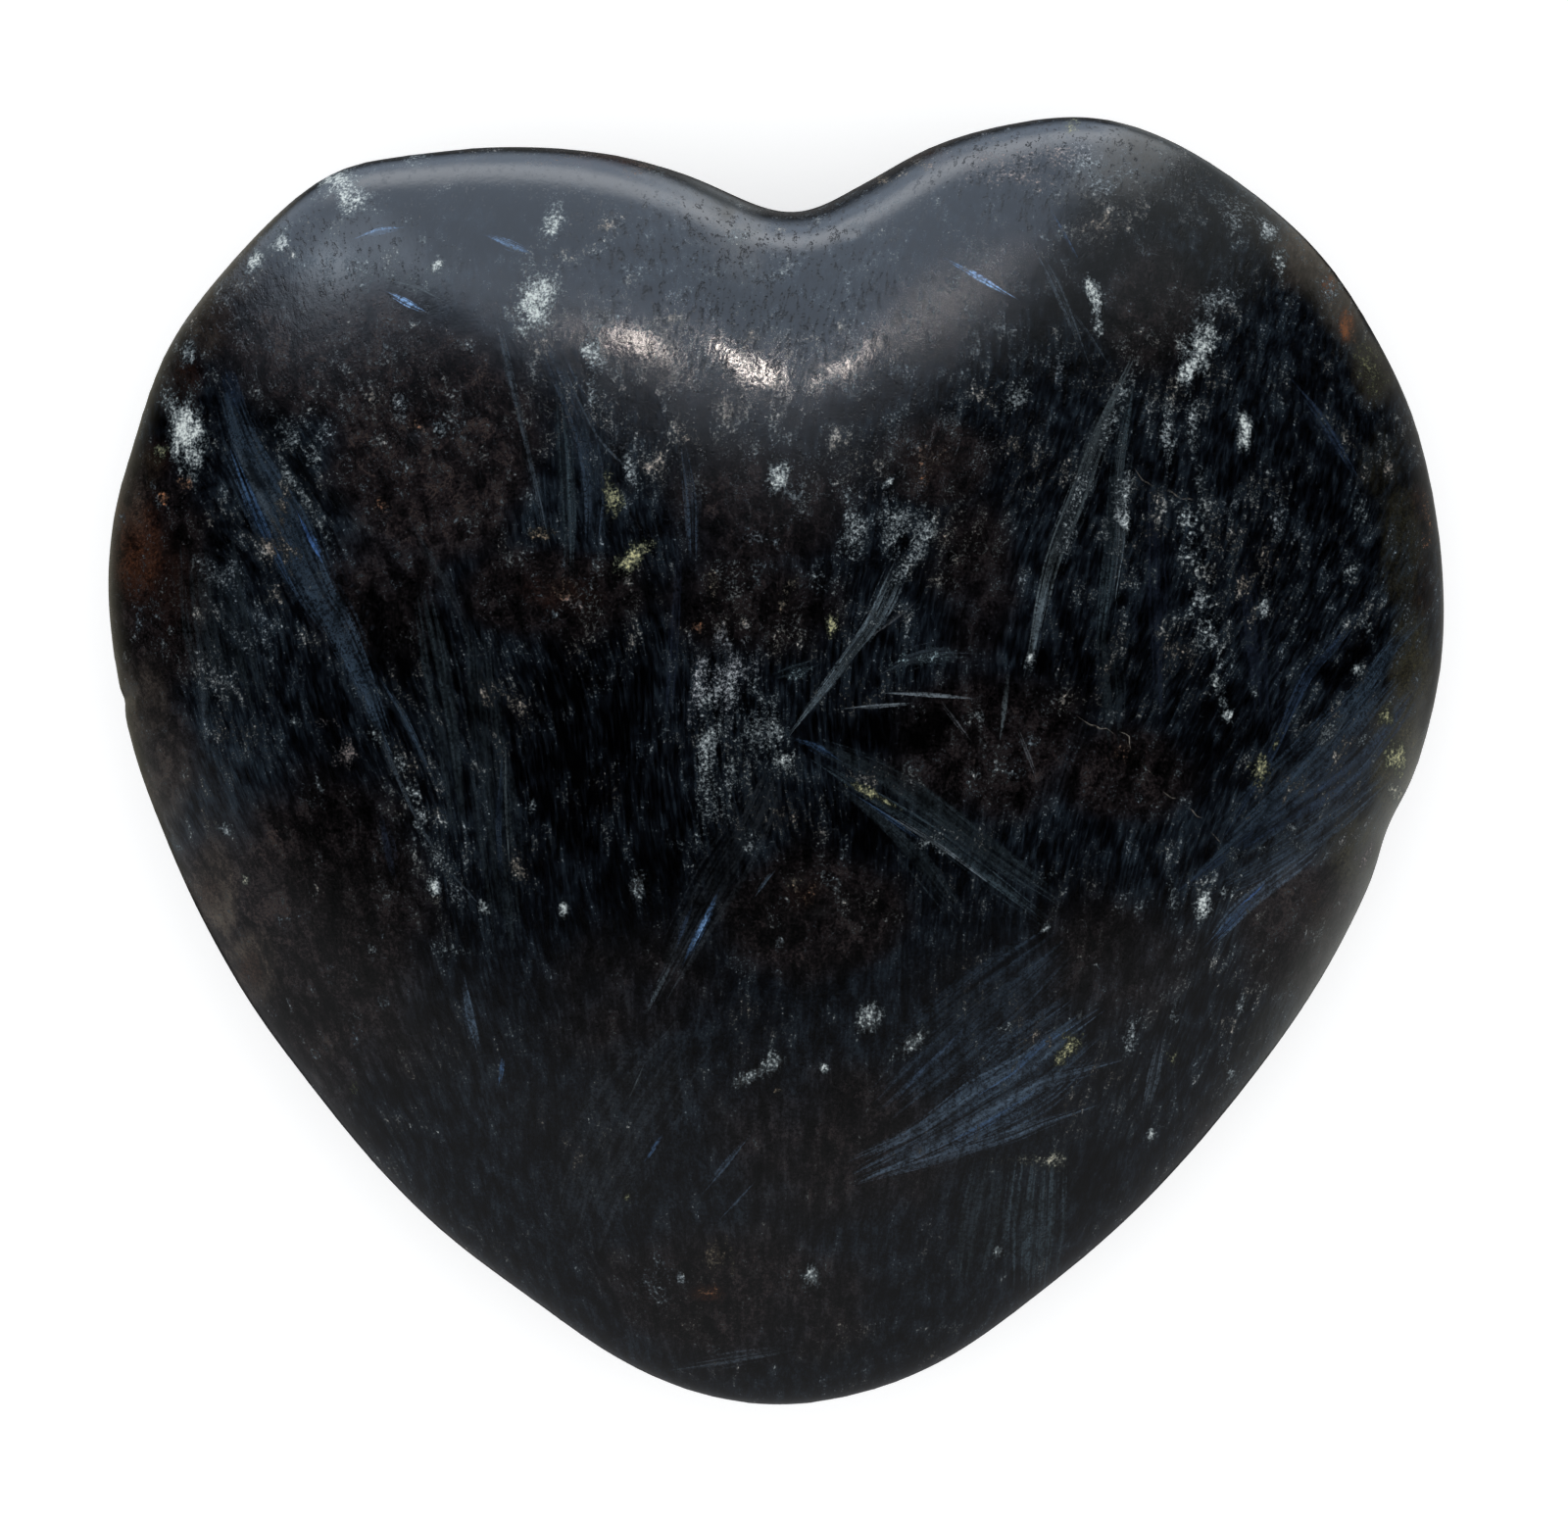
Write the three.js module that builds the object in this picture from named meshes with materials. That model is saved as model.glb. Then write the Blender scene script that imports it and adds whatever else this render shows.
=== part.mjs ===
// A polished heart of astrophyllite rock, lying on its back with its tip towards -Y.
// Units are millimetres and +Z is up. The origin is at the middle of the heart's footprint, on the
// surface that the heart lies on.
//
// The stone is one closed skin. Rings follow the outline at the girdle, grow rounder and smaller up
// the front dome to the crown, and do the same down the back to a small ground flat that it rests on.

import * as THREE from 'three';

// Driving dimensions
const thickness = 23; // crown to resting flat
const girdleHeight = 10.5; // mean height of the widest line above the resting flat
const girdleWave = 0.5; // how far the hand-ground girdle wanders up and down
const summit = { x: 0, y: 2.5 }; // the crown, and the middle of the resting flat below it
const innerRadius = 30; // radius that the rings tend to as they near the summit
const flatShare = 0.4; // resting flat's size, as a share of the way out to the girdle
const edgeHeight = 4.4; // how much of each dome is the rounded edge at the girdle, above or below it
const edgeSharpness = 9; // a higher power keeps that rounding closer to the girdle
const chip = { x: 32.4, y: -3.5, width: 1.6, depth: 0.45 }; // small flake lost from the right edge
const chipReach = 24; // a higher power keeps the chip closer to the girdle

// How finely the skin is faceted
const sides = 144;
const frontRings = 16;
const backRings = 10;
const ringCrowding = 0.8; // under 1, the rings crowd towards the girdle, where the skin turns fastest

// The outline seen from the front, clockwise from the notch. A smooth curve runs through these points.
const outlinePoints = [
  // right lobe, the higher of the two
  [0.9, 28.7], [4.4, 30.2], [8.4, 32.4], [12.4, 33.5], [16.5, 33.85], [20.0, 32.95],
  [23.9, 30.7], [28.1, 27.1], [31.3, 22.5], [33.7, 17.2], [34.85, 11.2], [34.95, 6.2],
  // right flank, nearly straight, with a faint corner below its middle
  [34.05, 1.2], [32.4, -3.4], [28.8, -11.0], [24.3, -17.4], [19.0, -23.4], [13.65, -28.0],
  // blunt tip
  [8.6, -31.5], [4.4, -33.2], [0.2, -33.8], [-4.0, -33.2], [-8.0, -31.5],
  // left flank
  [-12.7, -28.3], [-18.4, -23.8], [-23.6, -18.0], [-28.3, -11.5], [-32.0, -4.0], [-34.1, 2.0],
  [-35.1, 9.0], [-34.75, 13.2], [-34.1, 15.6], [-32.1, 21.5], [-28.35, 26.6],
  // left lobe, with a squarer shoulder and a flatter top
  [-25.1, 29.8], [-22.8, 31.2], [-18.6, 31.95], [-14.0, 32.3], [-9.0, 31.95], [-5.0, 30.85],
];

// How far the chip cuts into the girdle at a point of the outline: deepest at the chip's middle.
function chipDepth(point) {
  const away = Math.hypot(point.x - chip.x, point.y - chip.y);
  return chip.depth * Math.exp(-((away / chip.width) ** 2));
}

// The girdle as directions and distances from the summit, evenly spaced along the outline.
function traceGirdle() {
  const curve = new THREE.CatmullRomCurve3(
    outlinePoints.map(([x, y]) => new THREE.Vector3(x, y, 0)),
    true,
    'centripetal',
  );
  return curve
    .getSpacedPoints(sides)
    .slice(0, sides)
    .reverse() // counter-clockwise seen from above
    .map((point) => {
      const angle = Math.atan2(point.y - summit.y, point.x - summit.x);
      return {
        angle,
        reach: Math.hypot(point.x - summit.x, point.y - summit.y),
        chipped: chipDepth(point),
        height: girdleHeight + girdleWave * Math.sin(2 * angle + 0.8),
      };
    });
}

// One ring, a share of the way out from the summit. Near the girdle it keeps the heart's outline,
// and further in it turns into a circle, so the notch fades into a soft valley.
function ringAt(girdle, share, heightAt) {
  return girdle.map(({ angle, reach, chipped, height }) => {
    const whole = share * THREE.MathUtils.lerp(innerRadius, reach, share * share);
    const radius = whole - chipped * share ** chipReach;
    return new THREE.Vector3(
      summit.x + radius * Math.cos(angle),
      summit.y + radius * Math.sin(angle),
      heightAt(height),
    );
  });
}

// How far a dome has risen at a share of the way out: a shallow lens, and the rounded edge around it.
function rise(share, height) {
  const lens = (height - edgeHeight) * (1 - share ** 2);
  const edge = edgeHeight * Math.sqrt(1 - share ** edgeSharpness);
  return lens + edge;
}

// Front rings from the girdle up, leaving out the crown, which is a single point.
function frontDome(girdle) {
  const rings = [];
  for (let i = 0; i < frontRings; i += 1) {
    const share = Math.cos((i / frontRings) * (Math.PI / 2)) ** ringCrowding;
    rings.push(ringAt(girdle, share, (height) => height + rise(share, thickness - height)));
  }
  return rings;
}

// Back rings from just under the girdle down to the edge of the resting flat.
function backDome(girdle) {
  const rings = [];
  for (let i = 1; i <= backRings; i += 1) {
    const beyondFlat = i === backRings ? 0 : Math.cos((i / backRings) * (Math.PI / 2)) ** ringCrowding;
    const share = THREE.MathUtils.lerp(flatShare, 1, beyondFlat);
    rings.push(ringAt(girdle, share, (height) => height - rise(beyondFlat, height)));
  }
  return rings;
}

// Skins a stack of rings that runs from the lowest to the highest, and closes both ends with a point.
function skinOfRings(rings, lowPoint, highPoint) {
  const points = [...rings.flat(), lowPoint, highPoint];
  const low = points.length - 2;
  const high = points.length - 1;
  const top = (rings.length - 1) * sides;
  const faces = [];
  for (let j = 0; j < sides; j += 1) {
    const next = (j + 1) % sides;
    faces.push(low, next, j);
    faces.push(high, top + j, top + next);
    for (let i = 0; i < rings.length - 1; i += 1) {
      const below = i * sides;
      const above = below + sides;
      faces.push(below + j, below + next, above + next);
      faces.push(below + j, above + next, above + j);
    }
  }
  const skin = new THREE.BufferGeometry().setFromPoints(points);
  skin.setIndex(faces);
  skin.computeVertexNormals();
  return skin;
}

function heart() {
  const girdle = traceGirdle();
  const rings = [...backDome(girdle).reverse(), ...frontDome(girdle)];
  const restingPoint = new THREE.Vector3(summit.x, summit.y, 0);
  const crown = new THREE.Vector3(summit.x, summit.y, thickness);
  const polishedRock = new THREE.MeshStandardMaterial({
    color: 0x191a20,
    roughness: 0.3,
    metalness: 0,
  });
  const mesh = new THREE.Mesh(skinOfRings(rings, restingPoint, crown), polishedRock);
  mesh.name = 'heart';
  return mesh;
}

const polishedHeart = new THREE.Group();
polishedHeart.add(heart());

export default polishedHeart;
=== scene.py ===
import math

import bpy
import numpy as np
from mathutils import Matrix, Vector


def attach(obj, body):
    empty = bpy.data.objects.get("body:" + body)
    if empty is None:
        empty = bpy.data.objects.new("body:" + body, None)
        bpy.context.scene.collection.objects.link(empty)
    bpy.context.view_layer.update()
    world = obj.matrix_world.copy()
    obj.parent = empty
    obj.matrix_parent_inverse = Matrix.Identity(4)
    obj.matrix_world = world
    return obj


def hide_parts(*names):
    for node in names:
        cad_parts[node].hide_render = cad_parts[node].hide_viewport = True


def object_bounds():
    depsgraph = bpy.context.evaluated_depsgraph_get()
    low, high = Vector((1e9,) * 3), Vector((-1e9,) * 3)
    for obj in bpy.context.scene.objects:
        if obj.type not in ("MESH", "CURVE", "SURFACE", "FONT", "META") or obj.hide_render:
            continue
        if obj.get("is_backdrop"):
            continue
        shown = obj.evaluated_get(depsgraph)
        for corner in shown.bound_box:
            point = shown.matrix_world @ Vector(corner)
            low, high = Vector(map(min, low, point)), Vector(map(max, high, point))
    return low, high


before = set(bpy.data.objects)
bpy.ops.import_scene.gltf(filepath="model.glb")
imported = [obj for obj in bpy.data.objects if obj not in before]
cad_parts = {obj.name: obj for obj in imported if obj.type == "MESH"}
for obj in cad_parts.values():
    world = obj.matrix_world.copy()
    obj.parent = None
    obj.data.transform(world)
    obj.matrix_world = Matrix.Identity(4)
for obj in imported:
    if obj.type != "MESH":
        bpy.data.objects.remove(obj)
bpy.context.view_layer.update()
mmPerMetre = 1000
print("frame loaded")


# The view is straight down, so each place on the stone has its own pixel of a 1600 x 1553 picture
view = {
    "wide": 1600,              # pixels
    "high": 1553,
    "pixelsPerMm": 19.44,      # at the height of the girdle
    "girdle": 10.5,            # mm above the floor
    "distance": 500.0,         # mm from the girdle up to the lens
    "centre": (0.386, 0.051),  # mm, the place that the lens is above
    "sensor": 36.0,            # mm
    "clip": (0.01, 20),        # m, the nearest and farthest that the camera sees
}


def linear(hexColour):
    # sRGB hex to the linear numbers that shaders take
    parts = [int(hexColour[i:i + 2], 16) / 255 for i in (1, 3, 5)]
    return tuple(c / 12.92 if c <= 0.04045 else ((c + 0.055) / 1.055) ** 2.4 for c in parts) + (1.0,)


def addNode(tree, kind, values=None, out=0, stops=None, **settings):
    # One node with its settings, its fixed values and its links; gives back one output, or the node itself
    made = tree.nodes.new("ShaderNode" + kind)
    for name, setting in settings.items():
        setattr(made, name, setting)
    for socket, value in (values or {}).items():
        if isinstance(value, bpy.types.NodeSocket):
            tree.links.new(value, made.inputs[socket])
        else:
            made.inputs[socket].default_value = value
    for number, (place, colour) in enumerate(stops or []):
        stop = made.color_ramp.elements[number] if number < 2 else made.color_ramp.elements.new(place)
        stop.position = place
        stop.color = linear(colour)
    return made if out is None else made.outputs[out]


def smoothStep(low, high, value):
    share = np.clip((value - low) / (high - low), 0, 1)
    return share * share * (3 - 2 * share)


cameraData = bpy.data.cameras.new("overhead")
cameraData.sensor_width = view["sensor"]
cameraData.lens = view["sensor"] * view["pixelsPerMm"] * view["distance"] / view["wide"]
cameraData.clip_start, cameraData.clip_end = view["clip"]
camera = bpy.data.objects.new("overhead", cameraData)
lens = (*view["centre"], view["girdle"] + view["distance"])
camera.location = [part / mmPerMetre for part in lens]
bpy.context.scene.collection.objects.link(camera)
bpy.context.scene.camera = camera
print("camera placed")


# The stone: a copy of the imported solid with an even, finer skin that can carry its pits
skin = {
    "weld": 0.000001,        # m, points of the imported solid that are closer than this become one
    "rounding": 2,           # times that its facets are split and rounded
    "spacing": 0.000365,     # m between the points of the new skin
    "smoothing": 8,          # passes
    "eased": 0.5,            # share of the way to its neighbours that a point goes in each pass
    "swell": 0.03,           # mm of slow unevenness, as hand polishing leaves
    "sunk": 1.3,             # times the swell that the skin lies deeper, which keeps it inside the solid
    "swellFrom": (0.3, 2.5),     # mm above the floor between which the swell sets in
    "regain": 0.14,          # mm that smoothing takes off the rounded edge, put back
    "seatHeight": 0.06,      # mm: what lies lower is ground flat
    "frontFrom": (9, 12),    # mm above the floor between which the front's own shapes set in
    "notchLift": (0.5, 808, 240, 110),    # mm that squares the edge at the notch, and its pixel and reach
    "liftSteepness": 1.5,    # a higher number lifts less of the gently sloping skin
    "liftMost": 0.186,       # the most that tilt * (1 - tilt) ** 1.5 comes to
    "pitEdge": 2.2,          # a higher number keeps a pit closer to its middle
}


def selectOnly(piece):
    bpy.ops.object.select_all(action="DESELECT")
    piece.select_set(True)
    bpy.context.view_layer.objects.active = piece


def applied(piece, name, kind, **settings):
    modifier = piece.modifiers.new(name, kind)
    for key, value in settings.items():
        setattr(modifier, key, value)
    selectOnly(piece)
    bpy.ops.object.modifier_apply(modifier=name)


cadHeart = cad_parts["heart"]
stone = bpy.data.objects.new("polished_heart", cadHeart.data.copy())
bpy.context.scene.collection.objects.link(stone)
selectOnly(stone)
bpy.ops.object.mode_set(mode="EDIT")
bpy.ops.mesh.select_all(action="SELECT")
bpy.ops.mesh.remove_doubles(threshold=skin["weld"])
bpy.ops.mesh.tris_convert_to_quads()
bpy.ops.mesh.normals_make_consistent(inside=False)
bpy.ops.object.mode_set(mode="OBJECT")
applied(stone, "rounding", "SUBSURF", levels=skin["rounding"], render_levels=skin["rounding"])
applied(stone, "evenSkin", "REMESH", mode="VOXEL", voxel_size=skin["spacing"])
applied(stone, "settled", "SMOOTH", factor=skin["eased"], iterations=skin["smoothing"])

count = len(stone.data.vertices)
places = np.zeros(count * 3)
stone.data.vertices.foreach_get("co", places)
places = places.reshape(-1, 3) * mmPerMetre
normals = np.zeros(count * 3)
stone.data.vertices.foreach_get("normal", normals)
normals = normals.reshape(-1, 3)
edges = np.zeros(len(stone.data.edges) * 2, int)
stone.data.edges.foreach_get("vertices", edges)
edges = edges.reshape(-1, 2)
print("stone skin:", count, "points,", len(stone.data.polygons), "faces")


def toPixels(points):
    near = view["pixelsPerMm"] * view["distance"] / (view["distance"] - (points[:, 2] - view["girdle"]))
    across = view["wide"] / 2 + (points[:, 0] - view["centre"][0]) * near
    down = view["high"] / 2 - (points[:, 1] - view["centre"][1]) * near
    return np.stack([across, down], 1)


# Pits that the polish has not reached: pixel across and down, width and depth in mm
pits = {
    "leftRim": (127, 715, 1.0, 0.2),
    "notchLeft": (748, 222, 0.7, 0.06),
    "notchRight": (870, 236, 0.8, 0.06),
    "ringPit": (424, 437, 0.9, 0.1),
    "brownPit": (812, 906, 1.0, 0.1),
    "brownSecond": (838, 938, 0.8, 0.08),
    "blackPit": (1388, 662, 1.3, 0.1),
    "rustPit": (393, 515, 0.9, 0.08),
}

pixels = toPixels(places)
x, y, z = places.T
# Two sets of crossing waves, each x, y or z over a length in mm
swell = np.sin(x / 4.1 + y / 6.3 + 0.4) * np.sin(y / 3.7 - x / 7.9 + z / 5.0)
swell += 0.6 * np.sin(x / 2.3 - y / 2.9 + 1.7) * np.sin(y / 2.1 + x / 5.1)
above = smoothStep(*skin["swellFrom"], z)
shift = skin["swell"] * (swell - skin["sunk"]) * above + skin["regain"] * (1 - normals[:, 2] ** 2)
front = smoothStep(*skin["frontFrom"], z)
lift, across, down, reach = skin["notchLift"]
tilt = np.clip(normals[:, 2], 0, 1)
nearNotch = np.exp(-((pixels[:, 0] - across) ** 2 + (pixels[:, 1] - down) ** 2) / reach ** 2)
moved = places + normals * shift[:, None]
moved[:, 2] += lift * nearNotch * front * tilt * (1 - tilt) ** skin["liftSteepness"] / skin["liftMost"]
for across, down, wide, deep in pits.values():
    away = np.hypot(pixels[:, 0] - across, pixels[:, 1] - down) / view["pixelsPerMm"]
    moved -= normals * (deep * np.exp(-(away / wide * skin["pitEdge"]) ** 2) * front)[:, None]
moved[:, 2] = np.maximum(moved[:, 2], 0)
moved[places[:, 2] < skin["seatHeight"], 2] = 0
stone.data.vertices.foreach_set("co", (moved / mmPerMetre).ravel())
stone.data.update()
selectOnly(stone)
bpy.ops.object.shade_smooth()
places = moved
pixels = toPixels(places)
x, y, z = places.T
print("pits and swells cut")


# Every colour is what the eye meets in even light, at the bright end of the fibres that have it
rockColours = {
    "ink": "#030405",
    "steel": "#35424f",
    "deepSteel": "#293440",
    "slate": "#363f47",
    "teal": "#2b363c",
    "darkTeal": "#1b2226",
    "greyGreen": "#434c50",
    "paleTeal": "#4c575e",
    "greyLilac": "#404347",
    "brightBlue": "#3a5a8a",
    "skyBlue": "#7ea6d6",
    "middleBlue": "#2f4560",
    "royalBlue": "#222e3f",
    "indigo": "#161c28",
    "smoke": "#1c2024",
    "blueSteel": "#26323e",
    "navy": "#1a2534",
    "pearl": "#7d8890",
    "crackDust": "#77726a",
}
# Hue of the grains in a patch, and how strongly it lightens them
patchKinds = {
    "frost": ("#f6fbfa", 1.0),
    "frostGrey": ("#f0f6f8", 0.75),
    "dimFrost": ("#e8eef4", 0.5),
    "cream": ("#fbf0d4", 0.8),
    "straw": ("#f8eeb0", 0.75),
    "olive": ("#d8cf8a", 0.5),
    "tan": ("#f0c8a0", 0.6),
    "pink": ("#f4d4cc", 0.6),
    "rust": ("#f0a070", 0.45),
    "orange": ("#ff9a58", 0.6),
    "paleLilac": ("#ebe9f0", 0.7),
    "paleTeal": ("#d0ecf4", 0.7),
}

# Blades and sprays of fibre. Each has the pixels it runs through, its widths in pixels from end to end,
# the colour of its bright fibres, how strongly it shows, and how solid it is, from 0 for separate fibres to
# 1 for a full glint.
blades = {
    "leftBlade": ([(234, 406), (250, 453), (275, 498), (296, 534), (310, 572), (327, 608), (344, 636),
                   (364, 678), (385, 730), (402, 774)],
                  [22, 38, 50, 64, 62, 46, 38, 26, 14, 5], "blueSteel", 1.0, 0.5),
    "leftBladeTop": ([(232, 376), (238, 398), (246, 420)], [14, 24, 16], "navy", 0.8, 0.2),
    "leftBlueEdge": ([(240, 470), (254, 508), (270, 546), (289, 584), (304, 610)], [4, 11, 14, 11, 4],
                     "middleBlue", 0.9, 0.1),
    "leftPaleEdge": ([(240, 446), (254, 478), (270, 508), (288, 545)], [8, 22, 24, 8], "slate", 0.8, 0.0),
    "leftGlint": ([(307, 528), (317, 549), (329, 572)], [2, 7, 2], "brightBlue", 0.9, 0.15),
    "leftTailUpper": ([(392, 700), (410, 730), (426, 762), (444, 800)], [3, 9, 7, 3],
                      "blueSteel", 0.9, 0.1),
    "leftTail": ([(382, 736), (400, 780), (424, 832), (452, 880), (490, 924)], [5, 8, 8, 6, 4],
                 "slate", 0.7, 0.0),
    "leftWedge": ([(254, 400), (284, 444), (312, 488), (338, 536)], [5, 24, 22, 6], "ink", 0.95, 1.0),
    "leftWedgeLow": ([(332, 494), (350, 512), (366, 532)], [6, 18, 6], "ink", 0.9, 1.0),
    "leftSmear": ([(390, 838), (396, 866), (402, 896)], [7, 12, 6], "indigo", 0.8, 0.4),
    "leftFibres": ([(212, 560), (222, 640), (242, 720)], [60, 80, 60], "darkTeal", 0.6, 0.0),
    "leftRimFibre": ([(203, 655), (207, 700), (210, 750)], [8, 12, 6], "slate", 0.5, 0.1),
    "upperLeftLine": ([(506, 318), (518, 372), (530, 424), (545, 490), (558, 548)], [4, 9, 6, 5, 3],
                      "slate", 0.75, 0.2),
    "upperBlueBand": ([(540, 320), (566, 372), (592, 430), (605, 490), (604, 548)], [10, 22, 32, 32, 16],
                      "deepSteel", 0.65, 0.2),
    "upperPaleLine": ([(574, 372), (592, 414), (612, 450), (640, 480)], [2, 4, 5, 5], "slate", 0.9, 0.4),
    "tealColumn": ([(570, 400), (575, 470), (579, 540), (580, 586)], [8, 16, 16, 6], "teal", 0.8, 0.1),
    "midBlue": ([(698, 455), (706, 505), (708, 560)], [6, 15, 7], "deepSteel", 0.8, 0.2),
    "midBlueLow": ([(694, 560), (690, 640), (684, 720)], [6, 12, 6], "indigo", 0.7, 0.2),
    "greySweep": ([(418, 532), (448, 588), (478, 650)], [8, 16, 8], "smoke", 0.8, 0.3),
    "tealSweep": ([(432, 600), (448, 680), (462, 760), (470, 850)], [14, 26, 26, 12], "darkTeal", 0.9, 0.1),
    "centreSweep": ([(790, 790), (765, 850), (736, 900), (704, 956), (676, 1010)], [20, 46, 54, 40, 18],
                    "smoke", 0.7, 0.0),
    "blueThread": ([(513, 780), (509, 840), (512, 904)], [4, 9, 4], "royalBlue", 0.9, 0.4),
    "greenThread": ([(517, 770), (517, 820), (520, 880)], [3, 5, 3], "greyGreen", 0.6, 0.2),
    "columnFibres": ([(486, 640), (492, 720), (500, 800), (520, 960)], [30, 40, 44, 30],
                     "darkTeal", 0.6, 0.0),
    "diagonal": ([(918, 578), (906, 606), (890, 638), (868, 668), (846, 698), (826, 722), (808, 746)],
                 [18, 20, 16, 11, 9, 6, 3], "paleTeal", 1.0, 0.1),
    "diagonalFork": ([(932, 616), (912, 632), (892, 646)], [2, 5, 5], "greyLilac", 0.8, 0.1),
    "smallFrond": ([(792, 691), (812, 685), (832, 677)], [6, 15, 8], "teal", 0.9, 0.0),
    "lensBlade": ([(904, 686), (930, 674), (956, 668), (982, 668)], [5, 18, 20, 8], "slate", 0.8, 0.0),
    "threadOne": ([(866, 723), (896, 720), (926, 718)], [2, 5, 2], "pearl", 0.45, 0.0),
    "threadTwo": ([(912, 707), (950, 709), (988, 712)], [2, 5, 2], "pearl", 0.4, 0.0),
    "threadThree": ([(963, 720), (975, 736), (988, 753)], [3, 4, 2], "greyLilac", 0.8, 0.3),
    "threadFour": ([(1040, 748), (1048, 768), (1056, 790)], [3, 5, 2], "greyLilac", 0.8, 0.2),
    "threadFive": ([(1029, 694), (1026, 720), (1022, 748)], [3, 6, 3], "greyGreen", 0.6, 0.2),
    "fanUpper": ([(812, 754), (850, 768), (900, 790), (950, 822), (1000, 862), (1072, 912)],
                 [4, 22, 34, 36, 26, 10], "darkTeal", 1.0, 0.35),
    "fanMiddle": ([(836, 778), (870, 800), (905, 822), (950, 850), (1000, 888), (1060, 934)],
                  [4, 12, 18, 20, 18, 10], "teal", 0.75, 0.1),
    "fanBlue": ([(812, 755), (832, 761), (852, 774)], [3, 10, 5], "middleBlue", 0.6, 0.1),
    "fanRib": ([(900, 828), (930, 846), (962, 866), (1000, 894)], [2, 5, 6, 2], "pearl", 0.45, 0.1),
    "fanRibBlue": ([(872, 812), (906, 834), (940, 858)], [2, 6, 2], "middleBlue", 0.6, 0.1),
    "fanLower": ([(850, 800), (890, 832), (930, 872), (975, 930)], [4, 16, 24, 14], "darkTeal", 0.8, 0.05),
    "bladeA": ([(1154, 376), (1124, 440), (1100, 508), (1072, 582), (1052, 680)], [8, 18, 20, 14, 8],
               "greyGreen", 1.0, 0.1),
    "bladeATip": ([(1074, 576), (1064, 620), (1054, 670)], [4, 9, 4], "paleTeal", 0.9, 0.2),
    "bladeB": ([(1154, 400), (1144, 460), (1138, 530), (1132, 590), (1124, 650)], [6, 16, 20, 20, 10],
               "teal", 1.0, 0.2),
    "bladeBPale": ([(1148, 440), (1142, 490), (1144, 545), (1138, 600)], [3, 8, 10, 3],
                   "paleTeal", 1.0, 0.2),
    "upperThreads": ([(1060, 256), (1078, 290), (1094, 328), (1108, 366)], [6, 9, 7, 3], "slate", 0.7, 0.1),
    "upperThreadsRight": ([(1090, 312), (1112, 342), (1130, 372)], [3, 4, 3], "slate", 0.6, 0.2),
    "upperHair": ([(1070, 212), (1086, 238), (1101, 266)], [1.6, 3, 1.6], "middleBlue", 0.8, 0.6),
    "upperGlint": ([(968, 266), (990, 278), (1028, 300)], [2, 7, 2], "skyBlue", 1.0, 0.7),
    "longBlueA": ([(1176, 500), (1178, 600), (1182, 730)], [14, 30, 14], "indigo", 0.6, 0.0),
    "longBlueB": ([(1128, 640), (1132, 700), (1136, 760)], [14, 26, 12], "darkTeal", 0.7, 0.1),
    "longBlueC": ([(1270, 560), (1286, 640), (1292, 730)], [14, 34, 18], "indigo", 0.45, 0.0),
    "rightDarkBlade": ([(1322, 394), (1346, 424), (1366, 456), (1386, 490)], [5, 15, 14, 4],
                       "royalBlue", 0.75, 0.4),
    "rightFanOne": ([(1386, 628), (1361, 659), (1338, 686), (1322, 716), (1304, 758), (1282, 800),
                     (1250, 852)], [6, 12, 12, 8, 8, 6, 4], "navy", 1.0, 0.1),
    "rightFanTwo": ([(1449, 634), (1424, 660), (1406, 684), (1380, 724), (1350, 762), (1318, 800),
                     (1270, 850), (1212, 902)], [8, 16, 18, 16, 14, 14, 12, 6], "blueSteel", 0.9, 0.0),
    "rightFanPale": ([(1384, 706), (1364, 742), (1340, 776)], [4, 14, 5], "paleTeal", 0.6, 0.0),
    "rightFanThree": ([(1446, 706), (1408, 756), (1369, 792), (1328, 818), (1286, 846), (1240, 880),
                       (1200, 912)], [8, 20, 26, 28, 24, 14, 6], "navy", 1.0, 0.1),
    "rightFanBroad": ([(1420, 700), (1366, 762), (1318, 808), (1262, 856)], [40, 76, 74, 40],
                      "blueSteel", 0.75, 0.0),
    "rightFanFour": ([(1410, 800), (1362, 840), (1300, 880), (1240, 912)], [10, 22, 24, 12],
                     "blueSteel", 0.8, 0.0),
    "rightFanFive": ([(1350, 862), (1322, 884), (1292, 906), (1266, 928), (1236, 962)], [5, 14, 18, 18, 6],
                     "steel", 0.8, 0.1),
    "rightFanFiveBlue": ([(1280, 918), (1258, 940), (1238, 960)], [5, 11, 4], "middleBlue", 0.8, 0.4),
    "rightGlint": ([(1290, 902), (1279, 913), (1266, 924)], [1.5, 4, 1.5], "brightBlue", 0.8, 0.6),
    "lowFanBroad": ([(1106, 1050), (1050, 1096), (1000, 1128), (944, 1162), (880, 1194)],
                    [60, 84, 62, 36, 10], "blueSteel", 0.75, 0.0),
    "lowFanA": ([(1116, 1034), (1075, 1062), (1042, 1088), (992, 1114), (943, 1150), (872, 1182)],
                [6, 16, 20, 20, 14, 6], "steel", 0.65, 0.0),
    "lowFanB": ([(1136, 1086), (1100, 1096), (1055, 1109), (1000, 1142), (943, 1172), (886, 1200)],
                [8, 16, 22, 20, 14, 6], "steel", 0.65, 0.0),
    "lowFanC": ([(1110, 1130), (1064, 1146), (1030, 1160), (979, 1176), (880, 1204)], [6, 12, 14, 12, 4],
                "steel", 0.55, 0.0),
    "lowFanGlint": ([(1096, 1046), (1066, 1064), (1036, 1092), (1006, 1112)], [2, 6, 6, 2],
                    "middleBlue", 0.8, 0.5),
    "lowFanGlintB": ([(1060, 1112), (1010, 1144), (960, 1170)], [2, 6, 2], "middleBlue", 0.7, 0.4),
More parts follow.
